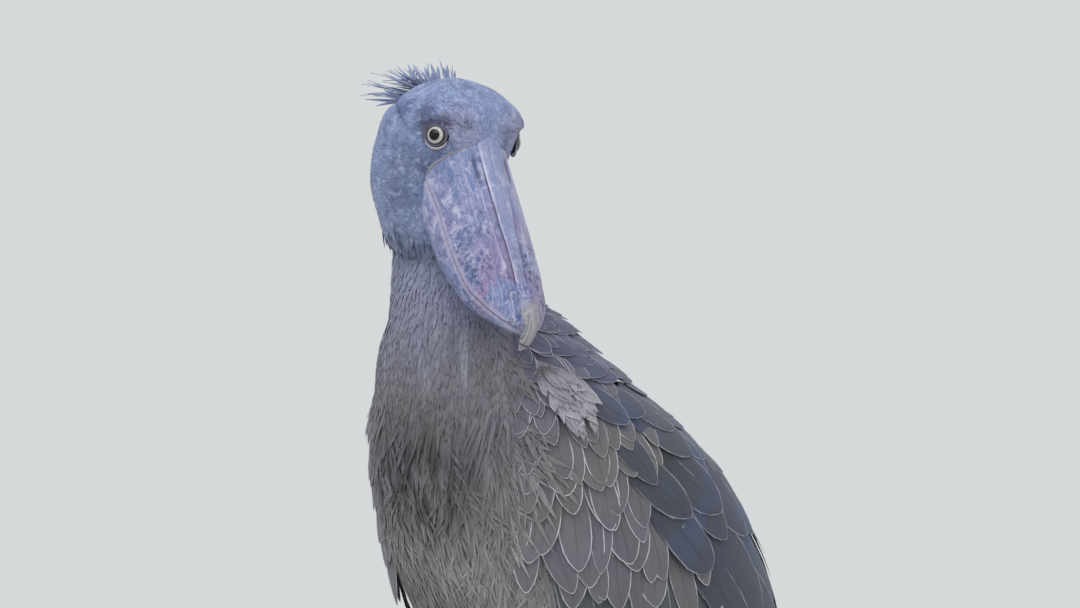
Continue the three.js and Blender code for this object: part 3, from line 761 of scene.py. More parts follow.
@dataclass(frozen=True)
class PlumageFinish:
    """Feathers: barbs, a shaft, painted shade at the root where the next feather covers it and, on the wing,
    a pale rim.
    """

    name: str
    tone: Colour | None = None  # None takes the body's shared markings
    second: Colour = OLIVE
    gloss_tint: Colour = (84, 104, 118)
    upper_tone: Colour = (130, 130, 150)
    rim: float = 0.0
    rim_width: float = 0.062
    rim_colour: Colour = (214, 212, 224)
    shaft: float = 0.0
    barbs: float = 60.0
    relief: float = 0.0004
    variety: float = 0.16
    strands: float = 0.12
    # root: how much painted shade darkens each feather towards its covered root
    root: float = 0.2
    roughness: float = 0.72
    sheen: float = 0.12

    def build(self) -> Material:
        """The material."""
        g = Graph(self.name)
        across, along, chance = g.vane()
        edge = g.edge()
        side = abs(across)
        if self.tone is None:
            colour = plumage_tone(g)
        else:
            colour = g.mix(self.tone, self.second, g.noise(7, 4, 0.6).rise(0.4, 0.68) * 0.7)
            colour = g.mix(colour, self.gloss_tint, g.noise(14, 3, 0.5).rise(0.46, 0.66) * 0.6)
            height = g.parts(g.place())[2]
            colour = g.mix(colour, self.upper_tone, height.rise(0.82, 0.92) * 0.8)
            colour = g.mix(colour, self.second, height.rise(0.72, 0.62) * 0.5)
        grain = g.node(
            "ShaderNodeCombineXYZ", None, {0: across * 2.2 + chance * 90, 1: along * 1.6, 2: chance * 40}
        )
        strand = g.noise(1.6, 3, 0.6, 0, grain)
        barb = (side * 0.55 - along) * self.barbs + g.noise(160, 2) * 2.2
        ridge = barb.sine() * 0.5 + 0.5
        shade = 1 - self.variety * 0.5 + chance * self.variety
        # painted shade: each feather darker towards its root, where the one above covers it
        shade = shade * (1 - self.root + self.root * along.rise(0.1, 0.6)) * (0.97 + 0.03 * ridge)
        shade = shade * (1 - self.strands + self.strands * strand.rise(0.3, 0.62))
        colour = g.mix(colour, (0, 0, 0), 1 - shade)
        if self.shaft > 0:
            quill = side.rise(0.09, 0.03) * along.rise(0.97, 0.8) * self.shaft
            colour = g.mix(colour, UNDERSIDE, quill)
        if self.rim > 0:
            broken = 0.25 + 0.75 * g.noise(42, 4, 0.65).rise(0.36, 0.58)
            outline = edge.rise(self.rim_width * 1.5, self.rim_width * 0.8) * along.rise(0.3, 0.6)
            colour = g.mix(colour, self.rim_colour, outline * self.rim * broken)
        extra = {"Sheen Weight": self.sheen, "Sheen Roughness": 0.5, "Specular IOR Level": 0.3}
        return g.finish(colour, self.roughness, ridge, self.relief, extra)


@dataclass(frozen=True)
class SkinFinish:
    """The body under the feathers, in the coat's own markings, and bare skin round the eyes."""

    name: str = "body_skin"

    def build(self) -> Material:
        """The material."""
        g = Graph(self.name)
        colour = g.mix(plumage_tone(g), (0, 0, 0), 0.1)
        down = g.noise(420, 3, 0.7)
        colour = g.mix(colour, FACE_PINK, down * 0.2)
        for side, _ in SIDES:
            eye = world_point(placed(eye_place(side) + 8 * eye_axis(side), HEAD_POSE))
            ring = g.distance(eye).rise(0.024, 0.015)
            colour = g.mix(colour, (84, 80, 100), ring * 0.85)
        return g.finish(colour, 0.7, down, 0.0006, {"Sheen Weight": 0.1, "Specular IOR Level": 0.3})


@dataclass(frozen=True)
class BillFinish:
    """Bill horn: pale lavender with blue, pink and slate mottling and fine long scratches, painted
    highlights on its ridge crests and painted shade in its groove and nostrils.
    """

    name: str = "bill_horn"

    def build(self) -> Material:
        """The material."""
        g = Graph(self.name)
        across, along, off = g.vane()  # off: from the culmen's groove, outwards
        mouth = g.edge()  # distance from the line of the mouth, in centimetres
        long = g.node(
            "ShaderNodeCombineXYZ", None, {0: across * 20, 1: along * 9, 2: g.parts(g.place())[0] * 9}
        )
        fine = g.node("ShaderNodeCombineXYZ", None, {0: across * 60, 1: along * 44, 2: 3.0})
        streaks = g.noise(1, 5, 0.65, 0.8, long)
        lines = g.noise(1, 5, 0.7, 0.9, fine)
        base = g.mix((92, 118, 164), (150, 148, 188), streaks.rise(0.36, 0.62))
        base = g.mix(base, (186, 182, 206), across.rise(0.2, 0.6) * 0.5)
        pink = g.noise(22, 5, 0.62, 0.6).rise(0.44, 0.58) * along.rise(0.1, 0.7)
        colour = g.mix(base, (144, 112, 150), pink * 0.85)
        blotch = g.noise(170, 6, 0.72, 0.7)
        cover = g.noise(26, 4, 0.6).rise(0.42, 0.56)
        dark = blotch.rise(0.47, 0.55) * (0.2 + 0.8 * cover) * (0.35 + 0.65 * along.rise(0.1, 0.5))
        colour = g.mix(colour, (54, 70, 112), dark * 0.9)
        colour = g.mix(colour, (80, 98, 148), lines.rise(0.5, 0.62) * 0.4)
        colour = g.mix(colour, (182, 190, 218), lines.rise(0.46, 0.36) * 0.5)
        pale = g.noise(60, 5, 0.7, 0.5).rise(0.52, 0.66)
        colour = g.mix(colour, (204, 206, 226), pale * 0.55)
        culmen = off.rise(0.1, -0.15)
        colour = g.mix(colour, (158, 164, 198), culmen * 0.4)
        # painted highlight along the crests beside the groove and along the second ridge
        ridge_highlights = abs(off + 0.15).rise(0.12, 0.03).larger(abs(off - 0.95).rise(0.14, 0.03) * 0.6)
        colour = g.mix(colour, (206, 206, 226), ridge_highlights * (0.2 + 0.5 * streaks.rise(0.4, 0.6)))
        # painted shade in the groove beside the culmen
        colour = g.mix(colour, (74, 66, 88), abs(off).rise(0.11, 0.04) * along.rise(0.14, 0.22) * 0.85)
        colour = g.mix(colour, (186, 178, 202), mouth.rise(0.5, 0.15) * 0.5)
        # the nostril slit painted dark: partly the slate-blue skin round it, partly painted shade inside the
        # slit
        nostril = (abs(across) - 0.41).rise(-0.08, -0.02) * (abs(across) - 0.41).rise(0.08, 0.02)
        nostril = nostril * along.rise(0.15, 0.18) * along.rise(0.245, 0.215) * mouth.rise(2.0, 3.0)
        colour = g.mix(colour, (64, 70, 112), nostril * 0.85)
        horn = along.rise(0.86, 0.98)
        colour = g.mix(colour, g.mix((112, 122, 132), (190, 180, 180), lines.rise(0.4, 0.58)), horn * 0.8)
        height = streaks * 0.5 + lines * 0.3 + blotch * 0.3
        rough = 0.42 + blotch * 0.2
        extra = {"Specular IOR Level": 0.42, "Coat Roughness": 0.3, "Coat Weight": 0.06}
        return g.finish(colour, rough, height, 0.0007, extra)


@dataclass(frozen=True)
class EyeFinish:
    """One eye: a black pupil, a pale grey iris with a dark rim, and a wet front."""

    name: str
    side: int

    def build(self) -> Material:
        """The material."""
        g = Graph(self.name)
        centre = placed(eye_place(self.side), HEAD_POSE)
        front = world_point(centre + EYE_RADIUS * (HEAD_POSE[:3, :3] @ eye_axis(self.side)))
        away = g.distance(front)
        fibres = g.noise(700, 3, 0.6)
        iris = g.mix((196, 196, 188), (160, 161, 156), fibres.rise(0.42, 0.62))
        iris = g.mix(iris, (142, 144, 142), away.rise(0.0078, 0.0096))
        iris = g.mix(iris, (120, 120, 118), away.rise(0.0066, 0.0056) * 0.5)
        colour = g.mix(iris, (5, 6, 8), away.rise(0.0061, 0.0056))
        colour = g.mix(colour, (20, 19, 24), away.rise(0.0092, 0.0098))
        extra = {"Coat Weight": 0.35, "Coat Roughness": 0.02, "Specular IOR Level": 0.2}
        return g.finish(colour, 0.25, None, 0, extra)


@dataclass(frozen=True)
class LidFinish:
    """Eyelids: dark bare rims and a paler fold below."""

    name: str = "eyelid_skin"

    def build(self) -> Material:
        """The material."""
        g = Graph(self.name)
        wrinkle = g.noise(520, 4, 0.65)
        colour = g.mix((84, 82, 98), (118, 114, 134), wrinkle.rise(0.42, 0.62))
        fold, inner, _ = g.vane()
        colour = g.mix(colour, (176, 172, 184), fold * 0.85)
        colour = g.mix(colour, (18, 17, 22), inner)
        return g.finish(colour, 0.5, wrinkle, 0.0004, {"Specular IOR Level": 0.4})


@dataclass(frozen=True)
class ScaleFinish:
    """Leg skin: small polygonal scales, dark grey with paler rims."""

    name: str
    size: float  # scales in a metre

    def build(self) -> Material:
        """The material."""
        g = Graph(self.name)
        settings = {"feature": "DISTANCE_TO_EDGE"}
        cells = g.node("ShaderNodeTexVoronoi", settings, {"Vector": g.place(), "Scale": self.size})
        crease = cells.rise(0.0, 0.12)
        tone = g.mix((70, 72, 78), (98, 98, 98), g.noise(60, 4).rise(0.4, 0.65))
        dust = g.noise(24, 4).rise(0.5, 0.7) * 0.3
        colour = g.mix(tone, (122, 116, 104), dust)
        colour = g.mix((44, 44, 50), colour, crease * 0.75 + 0.25)
        height = cells.rise(0.0, 0.3) * 0.8 + g.noise(900, 2) * 0.1
        return g.finish(colour, 0.6, height, 0.0012, {"Specular IOR Level": 0.35})


@dataclass(frozen=True)
class ClawFinish:
    """Claw horn: near black, worn brown at the tip, with growth lines."""

    name: str = "claw_horn"

    def build(self) -> Material:
        """The material."""
        g = Graph(self.name)
        worn = g.noise(240, 4)
        colour = g.mix((38, 36, 38), (88, 76, 66), worn.rise(0.5, 0.75) * 0.6)
        return g.finish(colour, 0.38, worn, 0.0002, {"Specular IOR Level": 0.5})


def deselect() -> None:
    """Leaves nothing selected."""
    if bpy.context.mode != "OBJECT":
        bpy.ops.object.mode_set(mode="OBJECT")
    bpy.ops.object.select_all(action="DESELECT")


def select(*pieces: Piece) -> None:
    """Leaves only these pieces selected, with the first active."""
    deselect()
    for piece in pieces:
        piece.select_set(True)
    bpy.context.view_layer.objects.active = pieces[0]


def link(made: Piece) -> Piece:
    """Puts a new object into the scene."""
    bpy.context.scene.collection.objects.link(made)
    return made


def new_ball(name: str, segments: int, rings: int, radius: float) -> Piece:
    """A new sphere at the origin.

    Args:
        name: the piece's name.
        segments, rings: how many faces round it and from pole to pole.
        radius: its radius.

    Returns:
        The object.
    """
    deselect()
    bpy.ops.mesh.primitive_uv_sphere_add(segments=segments, ring_count=rings, radius=radius)
    piece = bpy.context.active_object
    piece.name = name
    return piece


def mesh_object(name: str, vertices: Array, faces: Sequence[Sequence[int]]) -> Piece:
    """A new object with its place in its mesh.

    Args:
        name: the piece's name.
        vertices: its corners in metres.
        faces: the corners of each face.

    Returns:
        The object.
    """
    data = bpy.data.meshes.new(name)
    data.from_pydata(vertices.tolist(), [], faces)
    data.update()
    return link(bpy.data.objects.new(name, data))


def get_points(piece: Piece) -> Array:
    """A piece's vertices."""
    co = np.empty(len(piece.data.vertices) * 3)
    piece.data.vertices.foreach_get("co", co)
    return co.reshape(-1, 3)


def set_points(piece: Piece, points: Array) -> None:
    """Moves a piece's vertices."""
    piece.data.vertices.foreach_set("co", np.ascontiguousarray(points, float).ravel())
    piece.data.update()


def apply_modifier(piece: Piece, kind: str, **settings: object) -> None:
    """Adds a modifier and applies it.

    Args:
        piece: what it changes.
        kind: the modifier's type.
        settings: its properties.
    """
    select(piece)
    made = piece.modifiers.new(kind.lower(), kind)
    for key, value in settings.items():
        setattr(made, key, value)
    bpy.ops.object.modifier_apply(modifier=made.name)


def smooth(piece: Piece) -> None:
    """Smooth shading all over."""
    piece.data.polygons.foreach_set("use_smooth", np.ones(len(piece.data.polygons), bool))


def dress(piece: Piece, material: Material, replaces: Sequence[str] = ()) -> Piece:
    """Gives a piece its material, slot and body, and reports it.

    Args:
        piece: the piece.
        material: its finish.
        replaces: the solid nodes that it stands for.

    Returns:
        The piece.
    """
    piece.data.materials.clear()
    piece.data.materials.append(material)
    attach(piece, "root")
    if replaces:
        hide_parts(*replaces)
    log.info("%s: %d triangles", piece.name, len(piece.data.loops) - 2 * len(piece.data.polygons))
    return piece


def ringed_ball(name: str, around: int, along: int) -> tuple[Piece, Array, Array]:
    """A new sphere, with each vertex's ring from pole to pole and its angle round the axis.

    Args:
        name: the piece's name.
        around, along: how many faces round and along it.

    Returns:
        The object, the rings and the angles in radians.
    """
    piece = new_ball(name, around, along, 1)
    ball = get_points(piece)
    ring = np.round(np.arccos(np.clip(ball[:, 2], -1, 1)) / math.pi * along)
    return piece, ring, np.arctan2(ball[:, 1], ball[:, 0])


def pulled_ball(name: str, loft: Loft, around: int, along: int, lift: float = 0.0) -> tuple[Piece, Array]:
    """A sphere placed as a primitive and pulled over a loft.

    Args:
        name: the piece's name.
        loft: the form.
        around, along: how many faces round and along it.
        lift: how far outside the loft.

    Returns:
        The object, with each vertex's share of the length.
    """
    piece, ring, angle = ringed_ball(name, around, along)
    share = ring / along
    set_points(piece, world_point(loft.point(share, angle, lift)))
    return piece, share


def recalculated(piece: Piece) -> None:
    """Turns a closed piece's faces outwards."""
    select(piece)
    bpy.ops.object.mode_set(mode="EDIT")
    bpy.ops.mesh.select_all(action="SELECT")
    bpy.ops.mesh.normals_make_consistent(inside=False)
    bpy.ops.object.mode_set(mode="OBJECT")


def rounded(piece: Piece) -> None:
    """Turns a closed piece's faces outwards and shades it smooth."""
    recalculated(piece)
    smooth(piece)


def joined(first: Piece, others: Sequence[Piece]) -> None:
    """Joins other pieces to the first, which keeps its name."""
    select(first, *others)
    bpy.ops.object.join()


def set_vane(piece: Piece, values: Array, edge: Array | None = None) -> None:
    """Stores what the materials read at each vertex.

    Args:
        piece: the piece.
        values: three numbers for each vertex, read as vane.
        edge: one number for each vertex, 1 where it isn't given.
    """
    data = piece.data.attributes.new("vane", "FLOAT_VECTOR", "POINT")
    data.data.foreach_set("vector", np.ascontiguousarray(values, np.float32).ravel())
    rim = piece.data.attributes.new("edge", "FLOAT", "POINT")
    inward = np.ones(len(values)) if edge is None else edge
    rim.data.foreach_set("value", np.ascontiguousarray(inward, np.float32))


@dataclass(frozen=True)
class VaneShape:
    """One feather's outline, modelled once: rings of [share of the length, half width]."""

    rings: tuple[tuple[float, float], ...]
    columns: int = 5
    camber: float = 0.06
    thick: float = 0.3
    bulge: float = 0.16  # how far the shading turns over from edge to edge

    def template(self) -> tuple[Array, Array, Array, Array, list[tuple[int, ...]]]:
        """The closed vane's corners and faces.

        Returns:
            For each vertex its share of the length, the half width there, its place across from
            -1 to 1 and 1 on the underside, and then the faces.
        """
        n = self.columns
        across = np.append(np.linspace(-1, 1, n), 0)
        under = np.append(np.zeros(n), 1)
        faces: list[tuple[int, ...]] = []
        count = len(self.rings)
        for k in range(count - 1):
            a, b = k * (n + 1), (k + 1) * (n + 1)
            faces += [(a + i, a + i + 1, b + i + 1, b + i) for i in range(n - 1)]
            faces += [(a + n, a, b, b + n), (a + n - 1, a + n, b + n, b + n - 1)]
        last = (count - 1) * (n + 1)
        faces.append(tuple(range(n, -1, -1)))
        faces.append(tuple(last + i for i in range(n + 1)))
        shares, halves = (np.repeat(column, n + 1) for column in np.array(self.rings).T)
        return shares, halves, np.tile(across, count), np.tile(under, count), faces


SMALL_VANE = VaneShape(((0, 0.6), (0.45, 1.0), (1, 0.2)), columns=3, thick=0.12, bulge=0.12)
BODY_VANE = VaneShape(((0, 0.5), (0.35, 1.0), (0.75, 0.8), (1, 0.1)), columns=3, thick=0.16, bulge=0.18)
COVERT = VaneShape(
    ((0, 0.45), (0.25, 0.85), (0.5, 1.0), (0.66, 0.98), (0.79, 0.85), (0.89, 0.62), (0.96, 0.34), (1, 0.08)),
)
LANCE = VaneShape(
    ((0, 0.5), (0.3, 0.95), (0.6, 0.9), (0.85, 0.5), (1, 0.05)), columns=3, thick=0.2, bulge=0.25
)
QUILL = VaneShape(
    ((0, 0.3), (0.15, 0.72), (0.35, 0.95), (0.6, 1.0), (0.82, 0.9), (0.93, 0.64), (0.98, 0.36), (1, 0.1)),
    thick=0.5,
)


@dataclass
class Coat:
    """Feathers joined into one piece."""

    name: str
    seed: int
    vertices: list[Array] = field(default_factory=list)
    normals: list[Array] = field(default_factory=list)  # one for each corner of each face
    vane: list[Array] = field(default_factory=list)
    edge: list[Array] = field(default_factory=list)
    patches: list[Array] = field(default_factory=list)
    faces: list[Array] = field(default_factory=list)
    total: int = 0

    def __post_init__(self) -> None:
        """Starts the seeded draw."""
        self.rng = np.random.default_rng(self.seed)

    def add(
        self, points: Array, shading: Array, shape: VaneShape, aspect: Array, spot: Array,
        mirror: bool = False,
    ) -> None:
        """Adds feathers whose corners are known.

        Args:
            points: the corners of each feather, in the bird's frame.
            shading: their normals.
            shape: the outline that they follow.
            aspect: each feather's length over its half width.
            spot: each feather's place on the baking map.
            mirror: puts the feathers on the right side of the bird instead.
        """
        shares, halves, across, under, faces = shape.template()
        count, corners = points.shape[:2]
        middle = np.arange(corners) // (shape.columns + 1) * (shape.columns + 1) + shape.columns
        outward = unit(points - points[:, middle])
        beneath = unit(outward * 1.2 - shading * (1 - 2 * under)[None, :, None])
        flip = np.array([-1 if mirror else 1, 1, 1])
        rows = np.ones((count, 1))
        chance = self.rng.random((count, 1)) * np.ones(corners)
        inside = np.stack([(across + 1) * HALF_PATCH, shares * 2 * HALF_PATCH], -1)
        edge = np.minimum(rows * (1 - np.abs(across)) * halves, np.outer(aspect, 1 - shares))
        self.vertices.append((points * flip).reshape(-1, 3))
        self.vane.append(np.stack([rows * across, rows * shares, chance], -1).reshape(-1, 3))
        self.edge.append(edge.ravel())
        self.patches.append((spot[:, None, :] + inside[None]).reshape(-1, 2))
        starts = self.total + np.arange(count) * corners
        for face in faces:
            order = np.array(face[::-1] if mirror else face)
            self.faces.append(starts[:, None] + order[None, :])
            faced = beneath if under[order].any() else shading
            self.normals.append((faced[:, order] * flip).reshape(-1, 3))
        self.total += count * corners

    def grow(
        self,
        loft: Loft,
        t: Array,
        angle: Array,
        heading: Array,
        length: Array | float,
        width: Array | float,
        shape: VaneShape,
        sink: float = 3.0,
        rise: float = 3.0,
        curl: float = 0.0,
        roll: float = 0.0,
        wander: float = 6.0,
        lift: float = 0.0,
        uneven: float = 0.1,
        sweep: float = 0.0,
        tuft: float = 0.0,
        lock: float = 30.0,
        mirror: bool = False,
    ) -> None:
        """Grows one feather from each root.

        Args:
            loft: the surface.
            t, angle: the roots, as shares and radians.
            heading: the lie of each feather, in the bird's frame.
            length, width: sizes in millimetres.
            shape: the outline.
            sink: how deep the root lies under the surface.
            rise: how far the tip stands off it.
            curl: how much further the last third lifts.
            roll: degrees by which one edge is tucked under the next feather.
            wander: spread of the heading in degrees.
            lift: moves the whole feather off the surface.
            uneven: spread of the sizes, as a share.
            sweep: degrees by which neighbours bend together.
            tuft: how far neighbours stand off together.
            lock: the size of such groups of neighbours.
            mirror: puts the feathers on the right side of the bird instead.
        """
        count = len(t)
        rng = self.rng
        length = np.broadcast_to(np.asarray(length, float), count) * (1 + uneven * rng.normal(size=count))
        width = np.broadcast_to(np.asarray(width, float), count) * (1 + uneven * rng.normal(size=count))
        heading = np.broadcast_to(heading, (count, 3))
        place, _, _, normal = loft.normal(t, angle)
        turn = wander * rng.normal(size=count) + sweep * ripple(place, lock, 5)
        heading = turned(heading, normal, np.radians(turn))
        places, normals, forwards = loft.march(t, angle, heading, length)
        shares, halves, across, under, _ = shape.template()
        at = np.clip(shares * MARCH_STEPS, 0, MARCH_STEPS - 1e-6)
        low = at.astype(int)
        part = (at - low)[None, :, None]
        middle = places[:, low] * (1 - part) + places[:, low + 1] * part
        up = unit(normals[:, low] * (1 - part) + normals[:, low + 1] * part)
        ahead = unit(forwards[:, low] * (1 - part) + forwards[:, low + 1] * part)
        side = unit(np.cross(ahead, up))
        tilt = np.radians(roll + 2 * rng.normal(size=count))[:, None]
        side = turned(side, ahead, np.broadcast_to(tilt, side.shape[:2]))
        up = unit(np.cross(side, ahead))
        half = width[:, None] * 0.5 * halves
        tips = (rise * (0.8 + 0.4 * rng.random(count)) + tuft * ripple(place, lock, 9))[:, None]
        out = lift - sink + (sink + tips) * shares + curl * np.maximum(0, shares - 0.6) ** 2 / 0.16
        out = out - shape.camber * half * np.abs(across) ** 2 - under * shape.thick * (1.2 - 0.7 * shares)
        sway = (rng.normal(size=count) * 0.05)[:, None] * length[:, None] * shares**2
        made = middle + up * out[..., None] + side * (half * across + sway)[..., None]
        shading = unit(up + side * (across * shape.bulge)[None, :, None])
        shading = np.where(under[None, :, None] > 0, -up, shading)
        spot = np.stack([np.mod(angle / (2 * math.pi), 1) * 0.98, np.clip(t, 0, 1) * 0.98], -1)
        self.add(made, shading, shape, 2 * length / width, spot, mirror)

    def build(self) -> Piece:
        """The joined mesh with its attributes and its baking map."""
        points = world_point(np.concatenate(self.vertices))
        data = bpy.data.meshes.new(self.name)
        loops = np.concatenate([f.ravel() for f in self.faces])
        sizes = np.concatenate([np.full(len(f), f.shape[1]) for f in self.faces])
        starts = np.concatenate([[0], np.cumsum(sizes)[:-1]])
        data.vertices.add(len(points))
        data.vertices.foreach_set("co", points.astype(np.float32).ravel())
        data.loops.add(len(loops))
        data.loops.foreach_set("vertex_index", loops.astype(np.int32))
        data.polygons.add(len(sizes))
        data.polygons.foreach_set("loop_start", starts.astype(np.int32))
        data.polygons.foreach_set("use_smooth", np.ones(len(sizes), bool))
        data.update(calc_edges=True)
        data.validate()
        made = link(bpy.data.objects.new(self.name, data))
        set_vane(made, np.concatenate(self.vane), np.concatenate(self.edge))
        data.normals_split_custom_set(np.concatenate(self.normals).tolist())
        layer = data.uv_layers.new(name="OFBake")
        patches = np.concatenate(self.patches)
        corners = np.empty(len(data.loops), np.int32)
        data.loops.foreach_get("vertex_index", corners)
        layer.data.foreach_set("uv", patches[corners].astype(np.float32).ravel())
        return made


def roots(
    rng: np.random.Generator, loft: Loft, shares: tuple[float, float], turn: tuple[float, float],
    spacing: tuple[float, float], jitter: float = 0.35,
) -> tuple[Array, Array]:
    """Places for feathers in staggered rows over part of a loft.

    Args:
        rng: the seeded draw.
        loft: the surface.
        shares: first and last share of the length.
        turn: first and last angle in degrees.
        spacing: millimetres between rows and between neighbours in a row.
        jitter: how far a root strays, as a share of the spacing.

    Returns:
        Shares and angles in radians.
    """
    line = np.linspace(shares[0], shares[1], SAMPLES)
    middle = loft.point(line, np.full(SAMPLES, math.radians(sum(turn) / 2)))
    way = np.concatenate([[0], np.cumsum(np.linalg.norm(np.diff(middle, axis=0), axis=1))])
    rows = max(2, int(way[-1] / spacing[0]))
    stations = np.interp(np.linspace(0, way[-1], rows), way, line)
    all_t, all_angle = [], []
    step = (stations[-1] - stations[0]) / max(rows - 1, 1)
    for k, t in enumerate(stations):
        fan = np.radians(np.linspace(turn[0], turn[1], SAMPLES))
        ring = loft.point(np.full(SAMPLES, t), fan)
        arc = np.concatenate([[0], np.cumsum(np.linalg.norm(np.diff(ring, axis=0), axis=1))])
        count = max(1, int(arc[-1] / spacing[1]))
        at = (np.arange(count) + 0.5 * (k % 2) + rng.normal(size=count) * jitter * 0.5) / count
        all_angle.append(np.interp(np.clip(at, 0, 1) * arc[-1], arc, fan))
        all_t.append(t + rng.normal(size=count) * jitter * step * 0.5)
    return np.clip(np.concatenate(all_t), *ROOTED), np.concatenate(all_angle)


@dataclass
class BodySkin:
    """One skin over head, neck, body and thighs, which lies under the feathers."""

    body_depth: float = 2.4
    head_depth: float = 0.7
    voxel: float = 0.0042

    def build(self) -> Piece:
        """The fused, smoothed skin."""
        trunk, _ = pulled_ball("body_skin", TRUNK_LOFT, 72, 72, -self.body_depth)
        head, _ = pulled_ball("head_form", HEAD_LOFT, 96, 96, -self.head_depth)
        parts = [head]
        for side, name in SIDES:
            thigh, _ = pulled_ball(f"thigh_form_{name}", THIGH_LOFTS[side], 32, 28, -5)
            parts.append(thigh)
        deselect()
        for part in [trunk, *parts]:
            recalculated(part)
        joined(trunk, parts)
        apply_modifier(trunk, "REMESH", mode="VOXEL", voxel_size=self.voxel)
        apply_modifier(trunk, "SMOOTH", factor=0.5, iterations=5)
        smooth(trunk)
        return trunk

    def dress(self, piece: Piece) -> None:
        """Its finish, and the nodes of flesh that it stands for."""
        nodes = ("head", "neck", "torso", "thigh_left", "thigh_right")
        dress(piece, SkinFinish().build(), nodes)


@dataclass
class HeadCoat:
    """Short dense feathers over the head, lying back from the bill, and the crest."""

    spacing: float = 2.6
    length: float = 9.5
    width: float = 4.3
    strands: int = 13
    strand_width: float = 4.2
    eye_clearance: float = 13.6
    bill_clearance: float = 14.0

    def build(self) -> Piece:
        """The head's coat."""
        coat = Coat("head_coat", 11)
        t, angle = roots(coat.rng, HEAD_LOFT, (0.02, 0.985), (-180, 180), (self.spacing, self.spacing))
        local = placed(HEAD_LOFT.point(t, angle), np.linalg.inv(HEAD_POSE))
        away = local - np.array([0, -28, -6])
        lie = unit(away) + unit(np.array([0, 0.7, -0.9])) * smoothstep(40, -60, local[:, 2])[:, None] * 1.2
        heading = unit(lie) @ HEAD_POSE[:3, :3].T
        keep = self.bare_free(local)
        size = np.clip(0.62 + np.linalg.norm(local, axis=1) / 170, 0.7, 1.25)[keep]
        chin = smoothstep(-66, -108, local[keep][:, 2])
        sizes = (self.length * size * (1 + 1.5 * chin), self.width * (0.4 + 0.6 * size) * (1 + 0.3 * chin))
        place = (HEAD_LOFT, t[keep], angle[keep], heading[keep])
        coat.grow(*place, *sizes, SMALL_VANE, 0.9, 0.1, wander=8, uneven=0.16, sweep=8, tuft=0.06, lock=22)
        t, angle = roots(coat.rng, HEAD_LOFT, (0.05, 0.15), (-180, 180), (5, 4.2), 0.6)
        place = (HEAD_LOFT, t, angle, DOWN)
        coat.grow(*place, 23, 5.4, BODY_VANE, 1.2, 5, curl=2, wander=9, uneven=0.2, sweep=12, tuft=1)
        return coat.build()

    def bare_free(self, local: Array) -> Array:
        """Which roots lie clear of the eyes and of the bill's base.

        Args:
            local: the roots in the head's frame.

        Returns:
            True for each root that is kept.
        """
        keep = np.ones(len(local), bool)
        for side, _ in SIDES:
            eye = eye_place(side) + 7 * eye_axis(side)
            keep &= np.linalg.norm(local - eye, axis=1) > self.eye_clearance
        pitch = np.linalg.inv(matrix_of((0, 0, 0), [("X", BILL_PITCH)]))
        bill = placed(local, pitch)
        above = bill[:, 2] - UPPER_BILL[0][2]
        depth = np.where(above > 0, UPPER_BILL[0][4], 48)
        inside = ((bill[:, 0] / 45) ** 2 + (above / depth) ** 2 < 0.92) & (bill[:, 1] < self.bill_clearance)
        return keep & ~inside

    def crest(self) -> Piece:
        """Wispy narrow feathers at the back of the crown."""
        coat = Coat("crest", 12)
        rng = coat.rng
        for x, y, z, turn, lift, length in CREST:
            for _ in range(self.strands):
                root = np.array([x, y, z]) + rng.normal(size=3) * [5, 5, 2]
                around = math.radians(turn + rng.normal() * 16)
                above = math.radians(lift + rng.normal() * 9)
                level = np.array([math.sin(around), math.cos(around), 0]) * math.cos(above)
                way = level + [0, 0, math.sin(above)]
                self.wisp(coat, root, way, length * (0.5 + 0.55 * rng.random()))
        return coat.build()

    def wisp(self, coat: Coat, root: Array, way: Array, length: float) -> None:
        """Adds one free feather that bends a little.

        Args:
            coat: the piece that it joins.
            root: its root in the head's frame.
            way: the way it points there.
            length: its length.
        """
        rng = coat.rng
        shares, halves, across, under, _ = LANCE.template()
        side = unit(np.cross(way, [0.1, 0.1, 1.0]))
        up = unit(np.cross(side, way))
        roll = rng.normal() * 0.6
        side, up = side * math.cos(roll) + up * math.sin(roll), up * math.cos(roll) - side * math.sin(roll)
        bend = rng.normal(size=2) * 0.1 * length
        width = self.strand_width * (0.7 + 0.5 * rng.random())
        half = width * 0.5 * halves
        points = root + np.outer(shares * length * 1.12 - 0.12 * length, way)
        points = points + np.outer(half * across + bend[0] * shares**2, side)
        points = points + np.outer(bend[1] * shares**2 - 0.4 * under, up)
        shading = unit(
            np.outer(1 - 2 * under, up) + np.outer(across * LANCE.bulge, side)
        ) @ HEAD_POSE[:3, :3].T
        spot = np.array([[0.2 + root[0] * 0.004, 0.5 + root[1] * 0.003]])
        coat.add(placed(points, HEAD_POSE)[None], shading[None], LANCE, np.array([2 * length / width]), spot)


def trunk_lie(t: Array, fall: float) -> Array:
    """The way feathers point on the trunk.

    Args:
        t: their roots, as shares of the trunk.
        fall: how far they turn from the tail to straight down, from 0 to 1.

    Returns:
        Unit vectors.
    """
    ahead = TRUNK_LOFT.between(t - 0.02)[..., :3] - TRUNK_LOFT.between(t + 0.02)[..., :3]
    return unit(unit(ahead) * (1 - fall) + DOWN * fall)


